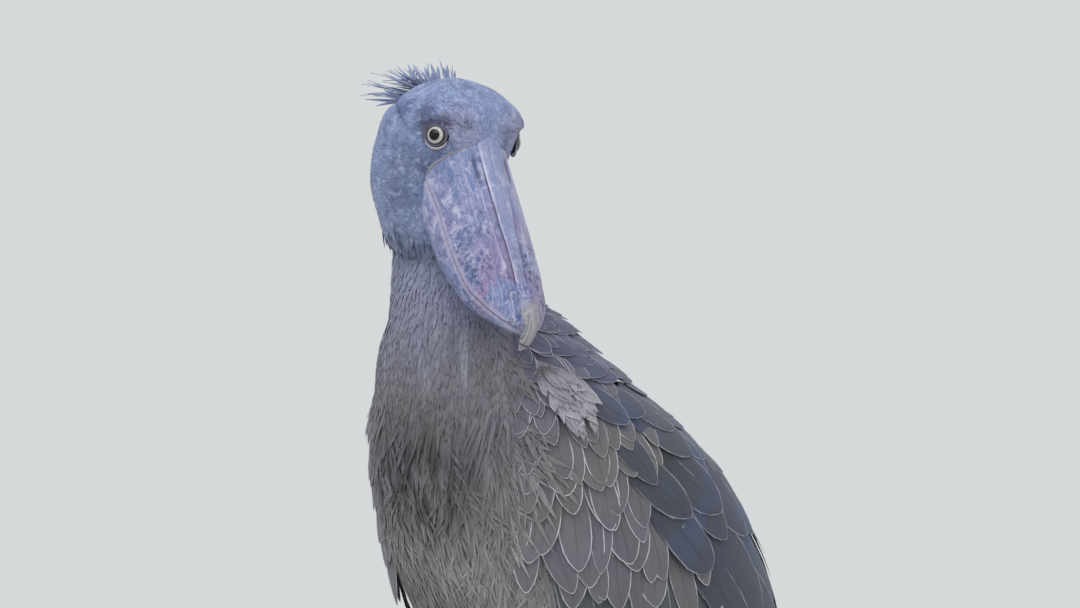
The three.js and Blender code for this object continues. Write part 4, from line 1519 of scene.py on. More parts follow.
@dataclass(frozen=True)
class Field:
    """Feathers over part of the trunk: its reach, their spacing, their sizes and their lie."""

    name: str
    seed: int
    shares: tuple[float, float]
    turn: tuple[float, float]
    spacing: tuple[float, float]
    length: tuple[float, float]
    width: tuple[float, float]
    fall: float
    rise: float = 1.0
    sweep: float = 14.0
    tuft: float = 1.2
    lock: float = 34.0

    def build(self) -> Piece:
        """The joined feathers."""
        coat = Coat(self.name, self.seed)
        t, angle = roots(coat.rng, TRUNK_LOFT, self.shares, self.turn, self.spacing)
        length = np.interp(t, self.shares, self.length)
        width = np.interp(t, self.shares, self.width)
        place = (TRUNK_LOFT, t, angle, trunk_lie(t, self.fall))
        lie = {"rise": self.rise, "sweep": self.sweep, "tuft": self.tuft, "lock": self.lock}
        coat.grow(*place, length, width, BODY_VANE, wander=7, uneven=0.18, **lie)
        return coat.build()


@dataclass
class BodyCoat:
    """The feathers of neck, breast, belly, back and thighs."""

    FIELDS = (
        Field(
            "neck_coat", 21, (0.63, 0.985), (-180, 180), (4.4, 2.8), (40, 26), (6.6, 5.4), 0.5, 0.4, 10, 0.3
        ),
        Field(
            "breast_coat", 22, (0.4, 0.66), (-190, 10), (5.2, 3.4), (46, 40), (8.4, 6.8), 0.55, 0.6, 12, 0.6
        ),
        Field(
            "belly_coat", 27, (0.1, 0.42), (-190, 10), (6.2, 4.4), (30, 36), (11, 9), 0.5, 1.0, 16, 1.2, 30
        ),
        Field("back_coat", 24, (0.06, 0.7), (8, 172), (10, 9), (46, 46), (15, 13), 0.1),
    )

    def bib(self) -> Piece:
        """Long narrow plumes that hang from the breast in pointed locks."""
        coat = Coat("breast_plumes", 23)
        for shares, spacing, length in (((0.42, 0.54), (27, 20), 108), ((0.5, 0.6), (30, 24), 84)):
            t, angle = roots(coat.rng, TRUNK_LOFT, shares, (-172, -8), spacing, 0.7)
            self.locks(coat, TRUNK_LOFT, t, angle, trunk_lie(t, 0.8), length, 15, 5)
        return coat.build()

    def flank(self) -> Piece:
        """Plumes from the side of the breast that fall over the front edge of the wing."""
        coat = Coat("flank_plumes", 26)
        heading = np.array([0.2, 0.34, -1.0])
        for mirror in (False, True):
            t, angle = roots(coat.rng, WING_LOFT, (0.02, 0.2 if mirror else 0.34), (-76, -50), (24, 13), 0.7)
            self.locks(coat, WING_LOFT, t, angle, np.tile(heading, (len(t), 1)), 74, 10, 7, mirror)
        return coat.build()

    @staticmethod
    def locks(
        coat: Coat, loft: Loft, t: Array, angle: Array, heading: Array, length: float, strands: int,
        width: float, mirror: bool = False,
    ) -> None:
        """Adds groups of plumes that draw together towards their tips.

        Args:
            coat: the piece that they join.
            loft: the surface.
            t, angle: the middle of each group, as shares and radians.
            heading: the way each group points.
            length, width: the size of a plume.
            strands: how many plumes are in a group.
            mirror: puts them on the right side of the bird instead.
        """
        rng = coat.rng
        count = len(t)
        bend = np.radians(19 * rng.normal(size=count))
        normal = loft.normal(t, angle)[3]
        heading = turned(heading, normal, bend)
        for k in range(strands):
            spread = (k - (strands - 1) / 2) / (strands - 1)
            size = length * (1 - 0.5 * abs(spread) * rng.random(count))
            place = (
                loft, np.clip(t + 0.008 * rng.normal(size=count), 0.01, 0.98), angle + 0.055 * spread * 2
            )
            inward = turned(heading, normal, np.full(count, 0.11 * spread * 2))
            sizes = (size, width, LANCE)
            coat.grow(*place, inward, *sizes, curl=1.5, wander=2.5, uneven=0.16, sweep=8, mirror=mirror)

    def thigh(self, side: int, name: str) -> Piece:
        """The feathers of one thigh.

        Args:
            side: 1 for the left thigh, -1 for the right.
            name: its side's name.

        Returns:
            The joined feathers.
        """
        coat = Coat(f"thigh_coat_{name}", 25 + (side > 0))
        loft = THIGH_LOFTS[side]
        t, angle = roots(coat.rng, loft, (0.02, 0.97), (-180, 180), (6.6, 4.6))
        length = np.interp(t, [0.0, 0.6, 1.0], [34, 28, 15])
        width = np.interp(t, [0.0, 0.6, 1.0], [10, 8.4, 6])
        down = DOWN + [0.0, 0.05, 0.0]
        sizes = (length, width, BODY_VANE)
        coat.grow(loft, t, angle, down, *sizes, 5.8, 1, wander=8, uneven=0.18, sweep=14, tuft=1, lock=28)
        return coat.build()


@dataclass(frozen=True)
class Tier:
    """A row of like feathers over the wing, between two ends given as [share, angle]."""

    start: tuple[float, float]
    end: tuple[float, float]
    count: int
    length: tuple[float, float]
    width: tuple[float, float]
    slope: tuple[float, float]
    rise: float = 3.0
    lift: float = 0.0
    shape: VaneShape = COVERT


class Tract(Enum):
    """The wing's tracts, each with a finish of its own."""

    FLIGHT = "flight"
    COVERTS = "coverts"
    MANTLE = "mantle"


@dataclass
class Wing:
    """One folded wing: a core, the flight feathers, tiers of coverts and the scapulars."""

    side: int
    name: str

    TIERS = {
        Tract.FLIGHT: (
            Tier((0.7, 2), (0.66, 78), 11, (170, 235), (34, 44), (34, 34), 1, -5, QUILL),
            Tier((0.58, -20), (0.6, 60), 13, (150, 175), (34, 36), (26, 30), 2, -4, QUILL),
            Tier((0.48, -42), (0.5, 60), 14, (125, 150), (34, 36), (20, 28), 2, -2.5, QUILL),
        ),
        Tract.COVERTS: (
            Tier((0.43, -56), (0.49, 20), 12, (94, 104), (33, 35), (12, 24), 3, -1),
            Tier((0.375, -62), (0.42, 13), 13, (88, 94), (31, 33), (9, 22), 3, 0),
            Tier((0.31, -63), (0.35, 9), 13, (80, 84), (29, 31), (8, 20), 3, 0.4),
            Tier((0.25, -62), (0.28, 5), 12, (70, 74), (26, 28), (8, 20), 3, 0.7),
            Tier((0.195, -58), (0.23, 8), 12, (60, 64), (22, 24), (16, 28), 2.8, 0.9),
            Tier((0.15, -55), (0.18, 2), 12, (52, 55), (19, 21), (24, 36), 2.6, 1),
            Tier((0.11, -52), (0.13, -2), 11, (46, 49), (17, 19), (30, 42), 2.4, 1),
            Tier((0.075, -50), (0.09, -6), 11, (42, 45), (15, 17), (36, 48), 2.2, 1),
            Tier((0.04, -47), (0.05, -10), 9, (38, 41), (14, 15), (40, 52), 2, 1),
            Tier((0.006, -44), (0.01, -14), 8, (34, 37), (13, 14), (42, 54), 2, 1),
        ),
        Tract.MANTLE: (
            Tier((0.5, 6), (0.52, 88), 8, (180, 190), (48, 48), (42, 32), 3.4, 3.8, QUILL),
            Tier((0.41, -1), (0.45, 88), 9, (150, 165), (46, 46), (46, 36), 3.4, 4, QUILL),
            Tier((0.325, -8), (0.37, 88), 10, (122, 138), (43, 43), (48, 40), 3.4, 3.8),
            Tier((0.255, -11), (0.29, 88), 10, (95, 108), (38, 39), (50, 44), 3.4, 3.6),
            Tier((0.195, -14), (0.22, 88), 11, (72, 82), (32, 33), (54, 46), 3.2, 3.2),
            Tier((0.145, -22), (0.16, 88), 12, (56, 62), (25, 27), (58, 50), 3, 3),
            Tier((0.1, -29), (0.11, 88), 13, (46, 50), (20, 22), (60, 52), 2.8, 2.6),
            Tier((0.055, -34), (0.06, 88), 13, (40, 44), (17, 19), (60, 54), 2.4, 2.2),
            Tier((0.006, -38), (0.006, 88), 12, (36, 40), (15, 17), (60, 56), 2.2, 1.8),
        ),
    }
    FINISHES = {
        Tract.FLIGHT: PlumageFinish(
            "flight_feathers", (92, 94, 108), (88, 94, 84), (70, 88, 114), (96, 100, 116), 0.5,
            shaft=0.5, relief=0.00015, roughness=0.62,
        ),
        Tract.COVERTS: PlumageFinish(
            "wing_coverts", (117, 114, 127), (112, 114, 100), (108, 104, 124), (106, 106, 130), 0.85,
            shaft=0.3, relief=0.00015,
        ),
        Tract.MANTLE: PlumageFinish(
            "mantle_feathers", (77, 78, 98), (79, 82, 84), (72, 88, 128), (94, 97, 124), 0.32,
            shaft=0.35, relief=0.00015, roughness=0.64,
        ),
    }

    # The core's front edge, as shares of the wing and degrees, and its edge at the back
    CORE_FRONT = ((0, 0.2, 0.42, 0.52, 0.62, 0.77, 0.9), (-44, -56, -62, -52, -30, -8, 0))
    CORE_BACK = 88.5

    def core(self) -> Piece:
        """The body of the wing under its feathers."""
        deselect()
        bpy.ops.mesh.primitive_cube_add(size=1)
        piece = bpy.context.active_object
        piece.name = f"wing_core_{self.name}"
        bpy.ops.object.mode_set(mode="EDIT")
        bpy.ops.mesh.select_all(action="SELECT")
        bpy.ops.mesh.subdivide(number_cuts=23)
        bpy.ops.object.mode_set(mode="OBJECT")
        cube = get_points(piece) + 0.5
        t = cube[:, 0] * self.CORE_FRONT[0][-1]
        front = np.interp(t, *self.CORE_FRONT)
        angle = np.radians(front + (self.CORE_BACK - front) * cube[:, 1])
        rim = np.minimum(1, 6 * np.minimum.reduce([cube[:, 0], 1 - cube[:, 0], cube[:, 1], 1 - cube[:, 1]]))
        depth = 9 + 8 * (1 - cube[:, 2]) * (0.2 + 0.8 * rim)
        points = WING_LOFT.point(t, angle, -depth)
        points[:, 0] = np.maximum(points[:, 0], 0.6)
        set_points(piece, world_point(points * [self.side, 1, 1]))
        rounded(piece)
        set_vane(piece, np.tile([0.5, 0.6, 0.5], (len(points), 1)))
        return piece

    def feathers(self, tract: Tract) -> Piece:
        """The feathers of one tract, in tiers.

        Args:
            tract: which tract.

        Returns:
            The joined feathers.
        """
        coat = Coat(f"wing_{tract.value}_{self.name}", 31 + 2 * list(Tract).index(tract) + (self.side > 0))
        for tier in self.TIERS[tract]:
            f = (np.arange(tier.count) + coat.rng.normal(size=tier.count) * 0.2) / (tier.count - 1)
            t = blend((tier.start[0], tier.end[0]), f) + coat.rng.normal(size=tier.count) * 0.007
            angle = np.radians(blend((tier.start[1], tier.end[1]), f))
            slope = np.radians(blend(tier.slope, f))
            heading = np.stack([np.zeros(tier.count), np.sin(slope), -np.cos(slope)], -1)
            place = (WING_LOFT, np.clip(t, ROOTED[0], 0.98), angle, heading)
            sizes = (blend(tier.length, f), blend(tier.width, f), tier.shape)
            lie = {"rise": tier.rise, "lift": tier.lift, "mirror": self.side < 0}
            coat.grow(*place, *sizes, sink=6, roll=4, wander=7, uneven=0.12, **lie)
        return coat.build()

    def pale_patch(self) -> Piece:
        """A few ruffled feathers on the shoulder that show their pale bases."""
        coat = Coat(f"ruffled_feathers_{self.name}", 61)
        count = 44
        t = 0.165 + 0.075 * coat.rng.random(count)
        angle = np.radians(-37 + 23 * coat.rng.random(count))
        heading = np.array([0.3, 0.4, -0.9])
        coat.grow(
            WING_LOFT, t, angle, heading, 34, 11, BODY_VANE, 1, 3, curl=2, lift=3.4, wander=17, uneven=0.28
        )
        coat.grow(
            WING_LOFT, np.array([0.25]), np.array([-0.5]), heading, 40, 10, LANCE, 1, 5, lift=4, wander=0
        )
        return coat.build()

    def build(self, finishes: dict[Tract, Material]) -> None:
        """Makes and dresses the wing.

        Args:
            finishes: each tract's finish.
        """
        node = f"wing_{self.name}"
        if self.side > 0:
            tones = ((204, 200, 214), (172, 168, 170), (212, 210, 224), (204, 200, 214))
            pale = PlumageFinish("ruffled_feathers", *tones, variety=0.28, strands=0.45, root=0.5)
            dress(self.pale_patch(), pale.build())
        dress(self.core(), finishes[Tract.FLIGHT], [node])
        for tract in Tract:
            dress(self.feathers(tract), finishes[tract])


@dataclass
class Tail:
    """The tail: a flat fan of twelve feathers with coverts over their roots."""

    feathers: int = 12

    def build(self) -> Piece:
        """The fan."""
        coat = Coat("tail_feathers", 41)
        down = math.radians(TAIL_SLOPE)
        along = np.array([0, math.cos(down), -math.sin(down)])
        up = np.array([0, math.sin(down), math.cos(down)])
        shares, halves, across, under, _ = QUILL.template()
        for row, reach, wide in ((0, 1.0, 31), (1, 0.62, 26), (2, 0.42, 22)):
            for i in range(self.feathers):
                side = (i - (self.feathers - 1) / 2) / ((self.feathers - 1) / 2)
                turn = math.radians(TAIL_FAN * side)
                roll = math.radians(math.copysign(9, side))
                length = TAIL_LENGTH * reach * (1 - 0.07 * side * side)
                y = 20 + shares * (length - 20)
                wide_here = wide * 0.5 * halves * across
                x = side * 24 + y * math.sin(turn) + wide_here * math.cos(turn) * math.cos(roll)
                height = -7 * abs(side) - wide_here * math.sin(roll) - 10 * (y / TAIL_LENGTH) ** 2
                height = height + 3.2 * row - 0.12 * np.abs(wide_here) - under * 0.8
                place = y * math.cos(turn) - wide_here * math.sin(turn)
                points = np.array(TAIL_ROOT) + np.outer(place, along) + np.outer(height, up)
                points[:, 0] = x
                shading = np.outer(1 - 2 * under, up) + np.outer(across * QUILL.bulge, [1, 0, 0])
                spot = np.array([[0.1 + 0.06 * i, 0.2 + 0.25 * row]])
                coat.add(points[None], unit(shading)[None], QUILL, np.array([2 * length / wide]), spot)
        return coat.build()


def bar_points(places: Sequence[Sequence[float]], share: Array, angle: Array) -> tuple[Array, Array]:
    """Points round a bar along a smooth line through places of [x, y, z, radius].

    Args:
        places: the line, with the bar's radius at each place.
        share, angle: where the points are, as shares of the line and radians round it.

    Returns:
        The middle of the bar at each point, and the way out from there to the surface.
    """
    table = padded(places)
    middle = curve_rows(table, share)
    ahead = unit(curve_rows(table, share + 0.01)[..., :3] - curve_rows(table, share - 0.01)[..., :3])
    side = unit(np.cross(ahead, [0.02, 0.01, 1.0]) + 1e-9)
    flat = np.abs(ahead[..., 2:]) > 0.9
    side = np.where(flat, unit(np.cross(ahead, [0.0, 1.0, 0.0])), side)
    up = np.cross(side, ahead)
    out = side * np.cos(angle)[..., None] + up * np.sin(angle)[..., None]
    return middle[..., :3], out * middle[..., 3:4]


def bar_piece(
    name: str, places: Sequence[Sequence[float]], around: int, along: int, pose: Array | None = None,
    swell: Callable[[Array], Array] | None = None,
) -> Piece:
    """A round bar with closed ends: a sphere pulled along a line.

    Args:
        name: the piece's name.
        places: the line and its radii, as for bar_points.
        around, along: how many faces round and along it.
        pose: where the line's own frame is in the bird's.
        swell: how much wider the bar is at each share of its line.

    Returns:
        The object.
    """
    piece, ring, angle = ringed_ball(name, around, along)
    share = np.clip((ring - 1) / (along - 2), 0, 1)
    middle, out = bar_points(places, share, angle)
    scale = np.where((ring == 0) | (ring == along), 0.0, 1.0)
    if swell is not None:
        scale = scale * swell(share)
    points = middle + out * scale[:, None]
    if pose is not None:
        points = placed(points, pose)
    set_points(piece, world_point(points))
    rounded(piece)
    return piece


@dataclass
class Bill:
    """The bill: a domed upper half with a ridge along its top, a hook, and the lower half."""

    ridge_height: float = 2.2
    groove_depth: float = 1.3

    def relief(self, points: Array, share: Array) -> tuple[Array, Array]:
        """The ridge, grooves and nostrils of the upper bill.

        Args:
            points: places on it, in its own frame.
            share: their shares of its length.

        Returns:
            How far each stands out, and its distance from the groove beside the ridge, in centimetres.
        """
        width = np.interp(share, [0.1, 0.23, 0.42, 0.55, 0.69, 0.8, 1.0], [15, 13, 8.5, 7.2, 7.6, 9, 5])
        from_line = np.abs(points[:, 0])
        top = smoothstep(-4, 6, points[:, 2] + 44)
        groove = np.exp(-(((from_line - width) / 1.4) ** 2)) * smoothstep(0.12, 0.22, share)
        crown = 1 - smoothstep(width - 4, width, from_line)
        second = np.exp(-(((from_line - width - 9.5) / 1.8) ** 2)) * smoothstep(0.95, 0.6, share)
        slit = np.exp(-(((from_line - 20.5) / 2.6) ** 2) - (((points[:, 1] + 20) / 10) ** 2) ** 2)
        out = (self.ridge_height * crown + 0.5 * second - self.groove_depth * groove - 1.8 * slit) * top
        return out, (from_line - width) / 10

    def upper(self) -> Piece:
        """The upper bill with its ridge, grooves and nostrils."""
        loft = Loft(UPPER_BILL, power=UPPER_POWER, caps=BILL_CAPS)
        piece, share = pulled_ball("bill_upper_horn", loft, 144, 120)
        local = get_points(piece) / MM - SHIFT
        centre = loft.between(share)[:, :3]
        out, groove = self.relief(local, share)
        mouth = local[:, 2] - np.interp(local[:, 1], *MOUTH)
        local = local + unit(local - centre) * out[:, None]
        set_points(piece, world_point(placed(local, BILL_POSE)))
        set_vane(piece, np.stack([local[:, 0] / BILL_HALF, share, groove], -1), mouth / 10)
        rounded(piece)
        return piece

    def hook(self) -> Piece:
        """The hooked nail at the bill's tip."""
        piece = bar_piece("bill_hook", HOOK, 40, 48, BILL_POSE)
        local = placed(get_points(piece) / MM - SHIFT, np.linalg.inv(BILL_POSE))
        along = 0.86 + 0.14 * smoothstep(-160, -200, local[:, 1])
        far = np.full(len(local), UNMARKED)
        set_vane(piece, np.stack([local[:, 0] / BILL_HALF, along, far], -1), far)
        return piece

    def lower(self) -> Piece:
        """The lower bill."""
        loft = Loft(LOWER_BILL, power=LOWER_POWER, caps=BILL_CAPS)
        piece, share = pulled_ball("bill_lower_horn", loft, 112, 96)
        local = get_points(piece) / MM - SHIFT
        mouth = local[:, 2] - np.interp(local[:, 1], *MOUTH) + 4
        far = np.full(len(local), UNMARKED)
        set_points(piece, world_point(placed(local, BILL_POSE)))
        set_vane(piece, np.stack([local[:, 0] / BILL_HALF, share * 0.9, far], -1), -mouth / 10)
        rounded(piece)
        return piece

    def build(self) -> None:
        """Makes and dresses the bill."""
        horn = BillFinish().build()
        dress(self.upper(), horn, ["bill_upper"])
        dress(self.hook(), horn)
        dress(self.lower(), horn, ["bill_lower"])


@dataclass
class Gape:
    """The bare fleshy rim where one side of the upper bill comes out of the face."""

    side: int
    name: str
    # Degrees up the side of the bill, and the rim's radius there
    THICKNESS = ((2, 14, 40, 66), (1.0, 1.9, 1.2, 0.3))

    def build(self, skin: Piece) -> Piece:
        """Follows the line where the bill leaves the skin, thinning towards the forehead.

        Args:
            skin: the bird's skin.

        Returns:
            The rim.
        """
        faces = [tuple(face.vertices) for face in skin.data.polygons]
        tree = BVHTree.FromPolygons([tuple(point) for point in get_points(skin)], faces)
        loft = Loft(UPPER_BILL, power=UPPER_POWER, pose=BILL_POSE)
        places = []
        for turn in np.linspace(self.THICKNESS[0][0], self.THICKNESS[0][-1], 13):
            angle = math.radians(turn if self.side > 0 else 180 - turn)
            for share in np.linspace(0.02, 0.5, 97):
                point = loft.point(share, angle)
                here = Vector(world_point(point))
                hit, normal, _, _ = tree.find_nearest(here)
                if (here - hit).dot(normal) > 0:
                    break
            places.append([*point, float(np.interp(turn, *self.THICKNESS))])
        piece = bar_piece(f"gape_{self.name}", places, 12, 72)
        set_vane(piece, np.tile([0.6, 0.0, 0.0], (len(piece.data.vertices), 1)))
        return piece


@dataclass
class Eye:
    """One eye with its lids."""

    side: int
    name: str
    rim: float = 10.4  # from the gaze to the middle of the lids
    lid_place: float = 5.9  # how far before the eye's centre the lids are
    lid_width: float = 6.5
    lid_height: float = 8.0
    fold_reach: float = 13.4
    fold_place: float = 5.6

    def axes(self) -> tuple[Array, Array, Array]:
        """The gaze, the level way across it and the way up, in the head's frame."""
        axis = eye_axis(self.side)
        level = unit(np.cross([0.0, 0.0, 1.0], axis))
        return axis, level, np.cross(axis, level)

    def ball(self) -> Piece:
        """The eyeball."""
        piece = new_ball(f"eyeball_{self.name}", 48, 32, EYE_RADIUS)
        set_points(piece, world_point(placed(get_points(piece) + eye_place(self.side), HEAD_POSE)))
        smooth(piece)
        return piece

    def lids(self) -> Piece:
        """The bare rim round the eye, with a fold under it."""
        deselect()
        bpy.ops.mesh.primitive_torus_add(
            major_segments=64, minor_segments=16, major_radius=1, minor_radius=0.2
        )
        piece = bpy.context.active_object
        piece.name = f"eyelids_{self.name}"
        ring = get_points(piece)
        around = np.arctan2(ring[:, 1], ring[:, 0])
        radial = np.linalg.norm(ring[:, :2], axis=1) - 1
        axis, level, high = self.axes()
        above = smoothstep(0.2, 0.9, np.sin(around))
        across = self.rim - 0.5 * above + radial * self.lid_width * (1 + 0.5 * above)
        depth = self.lid_place + ring[:, 2] * self.lid_height * (1 + 0.6 * above) + 1.2 * above
        points = (
            eye_place(self.side)
            + np.outer(np.cos(around) * across * 1.03, level)
            + np.outer(np.sin(around) * across * 0.97, high)
            + np.outer(depth, axis)
        )
        set_points(piece, world_point(placed(points, HEAD_POSE)))
        inner = smoothstep(0.02, -0.08, radial)
        set_vane(piece, np.outer(inner, [0, 1, 0]))
        rounded(piece)
        return piece

    def fold(self) -> Piece:
        """The pale fold of skin under the eye."""
        axis, level, high = self.axes()
        places = []
        for turn, radius in ((-165, 0.2), (-140, 0.9), (-110, 1.3), (-80, 1.3), (-50, 1.0), (-25, 0.2)):
            way = math.cos(math.radians(turn)) * level + math.sin(math.radians(turn)) * high
            place = placed(eye_place(self.side) + way * self.fold_reach + axis * self.fold_place, HEAD_POSE)
            places.append([*place, radius])
        piece = bar_piece(f"eye_fold_{self.name}", places, 12, 40)
        set_vane(piece, np.tile([1.0, 0.0, 0.0], (len(piece.data.vertices), 1)))
        return piece

    def build(self, lid_skin: Material) -> None:
        """Makes and dresses the eye."""
        finish = EyeFinish(f"eye_{self.name}", self.side).build()
        dress(self.ball(), finish, [f"eye_{self.name}"])
        dress(self.lids(), lid_skin)
        dress(self.fold(), lid_skin)


def scute(
    centre: Array, out: Array, along: Array, radius: float, tall: float
) -> tuple[list[Array], list[tuple[int, ...]]]:
    """One plate that wraps part of a round limb, closed at the limb's middle.

    Args:
        centre: the limb's middle behind the plate.
        out: the way the plate faces.
        along: the way the limb goes.
        radius: the limb's radius.
        tall: the plate's height along the limb.

    Returns:
        Its corners and faces.
    """
    vertices = []
    turns = np.radians([-62, -42, -20, 0, 20, 42, 62])
    side = np.cross(along, out)
    for height, grow in ((-0.5, -0.4), (-0.42, 0.7), (0.42, 0.9), (0.5, -0.4)):
        for turn in turns:
            outer = abs(turn) > 1
            edge = 1 - 0.1 * outer
            way = out * math.cos(turn) + side * math.sin(turn)
            reach = radius + grow * edge - (0.6 if outer else 0)
            vertices.append(centre + way * reach + along * tall * height * edge)
    n = len(turns)
    faces: list[tuple[int, ...]] = []
    for k in range(3):
        low, high = k * n, (k + 1) * n
        faces += [(low + i, low + i + 1, high + i + 1, high + i) for i in range(n - 1)]
    rim = [*range(n), *(k * n + n - 1 for k in (1, 2, 3))]
    rim += [*range(4 * n - 2, 3 * n - 1, -1), *(k * n for k in (2, 1))]
    faces += [(rim[(i + 1) % len(rim)], rim[i], len(vertices)) for i in range(len(rim))]
    return [*vertices, centre], faces


def toe_pads(share: Array) -> Array:
    """How much wider than its bar a toe is where its pads are."""
    return 1 + 0.07 * np.sin(share * 2 * math.pi * 5.0) * smoothstep(0.2, 0.4, share)


@dataclass
class Leg:
    """One bare shank with its foot, scutes and claws."""

    side: int
    name: str
    voxel: float = 0.0016
    above_floor: float = 0.0002

    @property
    def at(self) -> tuple[float, float]:
        """The middle of the foot."""
        return self.side * FOOT_SPREAD, FOOT_BACK - self.side * FOOT_STAGGER

    def toe_axis(self, name: str) -> Array:
        """The way a toe points."""
        turn = math.radians(TOES[name][0]) * self.side
        return np.array([math.sin(turn), -math.cos(turn), 0.0])

    def shank(self) -> Piece:
        """The bare leg with its ankle."""
        x, y = self.at
        places = [[x, y + back, z, radius] for back, z, radius in SHANK]
        return bar_piece(f"shank_skin_{self.name}", places, 32, 120)

    def foot(self) -> Piece:
        """The toes with their pads, joined at the ball of the foot."""
        x, y = self.at
        parts = []
        for name, (_, length) in TOES.items():
            axis = self.toe_axis(name)
            places = [
                [x + axis[0] * length * share, y + axis[1] * length * share, z, radius]
                for share, z, radius in TOE_SECTIONS
            ]
            parts.append(bar_piece(f"toe_{name}_{self.name}", places, 24, 60, None, toe_pads))
        hub = new_ball(f"foot_skin_{self.name}", 32, 20, 15)
        points = get_points(hub) * [1, 1.1, 0.8] + [x, y, 15]
        set_points(hub, world_point(points))
        joined(hub, parts)
        apply_modifier(hub, "REMESH", mode="VOXEL", voxel_size=self.voxel)
        apply_modifier(hub, "SMOOTH", factor=0.5, iterations=3)
        points = get_points(hub)
        points[:, 2] = np.maximum(points[:, 2], self.above_floor)
        set_points(hub, points)
        smooth(hub)
        return hub

    def scutes(self) -> Piece:
        """Plates down the front of the shank and along the top of each toe."""
        x, y = self.at
        backs, heights, radii = (np.array(column) for column in zip(*SHANK[:3:-1]))
        plates = []
        for z in np.arange(40, 232, 6.2):
            centre = np.array([x, np.interp(z, heights, y + backs), z])
            plates.append(
                (centre, np.array([0, -1.0, 0]), np.array([0, 0, 1.0]), np.interp(z, heights, radii), 5.6)
            )
        shares, heights, radii = zip(*TOE_SECTIONS)
        for name, (_, length) in TOES.items():
            axis = self.toe_axis(name)
            for share in np.arange(0.24, 0.97, 6.0 / length):
                centre = np.array([x, y, np.interp(share, shares, heights)]) + axis * length * share
                plates.append((centre, np.array([0, 0, 1.0]), -axis, np.interp(share, shares, radii), 5.4))
        vertices: list[Array] = []
        faces: list[tuple[int, ...]] = []
        for plate in plates:
            plate_vertices, plate_faces = scute(*plate)
            faces += [tuple(len(vertices) + corner for corner in face) for face in plate_faces]
            vertices += plate_vertices
        piece = mesh_object(f"scutes_{self.name}", world_point(np.array(vertices)), faces)
        rounded(piece)
        return piece

    def claw(self, name: str) -> Piece:
        """One claw.

        Args:
            name: its toe's name.

        Returns:
            The claw.
        """
        x, y = self.at
        axis = self.toe_axis(name)
        length = TOES[name][1]
        sizes = (
            (-6, 7, 4.2), (4, 8.2, 4.2), (CLAW_LENGTH * 0.55, 7, 3), (CLAW_LENGTH * 0.85, 4, 1.6),
            (CLAW_LENGTH, 1.2, 0.5),
        )
        places = [[x + axis[0] * (length + d), y + axis[1] * (length + d), z, r] for d, z, r in sizes]
        return bar_piece(f"claw_horn_{name}_{self.name}", places, 20, 24)

    def build(self, scales: Material, plates: Material, horn: Material) -> None:
        """Makes and dresses the leg.

        Args:
            scales, plates, horn: the finishes of its skin, its scutes and its claws.
        """
        dress(self.shank(), scales, [f"shank_{self.name}"])
        dress(self.foot(), scales, [f"foot_{self.name}"])
        dress(self.scutes(), plates)
        for name in TOES:
            dress(self.claw(name), horn, [f"claw_{name}_{self.name}"])


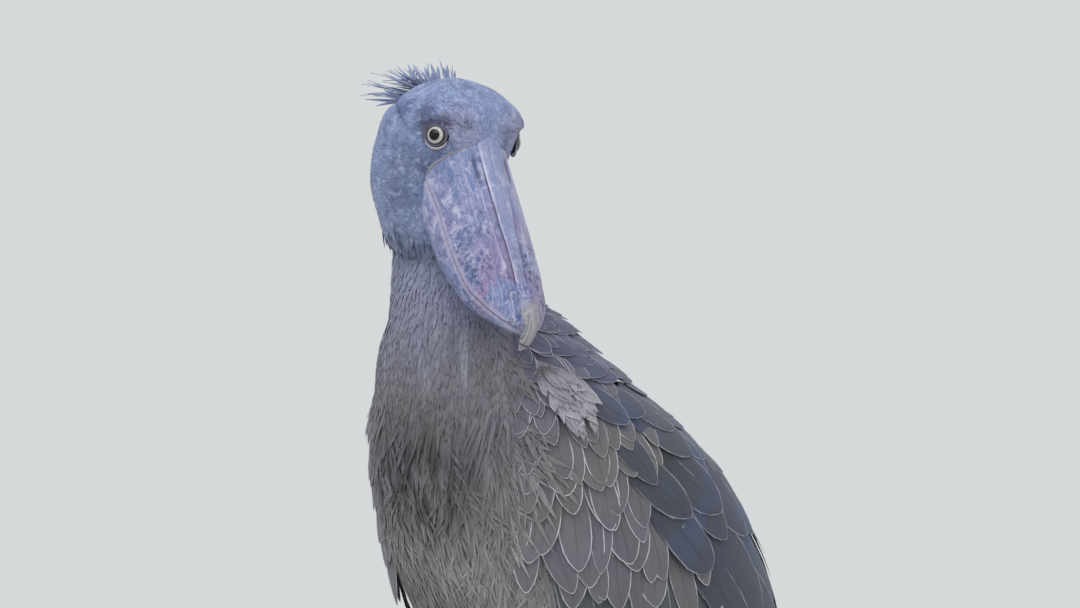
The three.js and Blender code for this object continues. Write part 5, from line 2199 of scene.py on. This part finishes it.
@dataclass
class Studio:
    """Floor, backdrop, soft lights and the camera at the photograph's angle."""

    azimuth: float = 42.0
    away: float = 26.0
    frame_width: float = 1.08
    middle: tuple[float, float] = (25.0, 956.0)  # the frame's middle, sideways and up

    def build(self) -> None:
        """Sets the scene round the bird."""
        deselect()
        bpy.ops.mesh.primitive_plane_add(size=24, location=(0, 0, 0))
        floor = bpy.context.active_object
        floor.name = "floor"
        g = Graph("studio_floor")
        tone = g.mix((206, 208, 204), (198, 200, 196), g.noise(3, 2))
        floor.data.materials.append(g.finish(tone, 0.85, None, 0))
        world = bpy.data.worlds.new("studio_air")
        bpy.context.scene.world = world
        world.use_nodes = True
        sky = world.node_tree.nodes["Background"]
        sky.inputs["Color"].default_value = linear((214, 217, 218))
        sky.inputs["Strength"].default_value = 1.0
        self.light("key", (0.6, -2.8, 4.0), 3.4, 85)
        self.light("fill", (3.4, -1.0, 2.0), 3.0, 18)
        self.light("back", (0.2, 3.4, 3.6), 2.4, 26)
        self.camera()
        bpy.context.scene.view_settings.view_transform = "Standard"

    @staticmethod
    def light(name: str, place: tuple[float, float, float], size: float, power: float) -> None:
        """Adds a soft square light that looks at the middle of the bird.

        Args:
            name: its name.
            place: where it is, in metres.
            size: its width in metres.
            power: its strength in watts.
        """
        data = bpy.data.lights.new(name, "AREA")
        data.shape = "SQUARE"
        data.size = size
        data.energy = power
        lamp = link(bpy.data.objects.new(name, data))
        lamp.location = place
        lamp.rotation_euler = (Vector((0, 0, 0.85)) - Vector(place)).to_track_quat("-Z", "Y").to_euler()

    def camera(self) -> None:
        """The camera, level and far away, framed as the photograph is."""
        turn = math.radians(self.azimuth)
        right = np.array([math.cos(turn), math.sin(turn), 0])
        back = np.array([math.sin(turn), -math.cos(turn), 0])
        shift_right = float(SHIFT @ right)
        target = right * (self.middle[0] + shift_right) * MM + np.array([0, 0, self.middle[1] * MM])
        data = bpy.data.cameras.new("camera")
        data.sensor_width = 36
        data.lens = 36 * self.away / self.frame_width
        data.clip_end = 200
        eye = link(bpy.data.objects.new("camera", data))
        eye.location = target + back * self.away
        eye.rotation_euler = (math.pi / 2, 0, turn)
        bpy.context.scene.camera = eye


def main() -> None:
    """Builds the bird from the skin outwards and sets the scene."""
    logging.basicConfig(level=logging.INFO, format="%(message)s")
    body_skin = BodySkin()
    skin = body_skin.build()
    body_skin.dress(skin)
    head = HeadCoat()
    down = PlumageFinish(
        "head_feathers", barbs=20, relief=0.0001, variety=0.1, strands=0.08, root=0.06
    ).build()
    dress(head.build(), down)
    wisps = (150, 160, 196)
    crest = PlumageFinish(
        "crest_feathers", wisps, (128, 140, 180), (140, 152, 194), wisps, barbs=20, relief=0.0001,
        variety=0.3,
    )
    dress(head.crest(), crest.build())
    body = BodyCoat()
    soft = PlumageFinish("body_feathers", barbs=40, relief=0.0002, variety=0.14, root=0.12).build()
    plume = PlumageFinish(
        "breast_plumes", barbs=40, relief=0.0001, variety=0.45, strands=0.3, root=0.6
    ).build()
    for area in body.FIELDS:
        dress(area.build(), soft)
    for side, name in SIDES:
        dress(body.thigh(side, name), soft)
    dress(body.bib(), plume)
    dress(body.flank(), plume)
    finishes = {tract: Wing.FINISHES[tract].build() for tract in Tract}
    for side, name in SIDES:
        Wing(side, name).build(finishes)
    dress(Tail().build(), finishes[Tract.FLIGHT], ["tail"])
    Bill().build()
    lid_skin = LidFinish().build()
    scales = ScaleFinish("shank_scales", 240).build()
    plates = ScaleFinish("scute_plates", 120).build()
    horn = ClawFinish().build()
    for side, name in SIDES:
        Eye(side, name).build(lid_skin)
        dress(Gape(side, name).build(skin), lid_skin)
        Leg(side, name).build(scales, plates, horn)
    Studio().build()


if __name__ == "__main__":
    main()
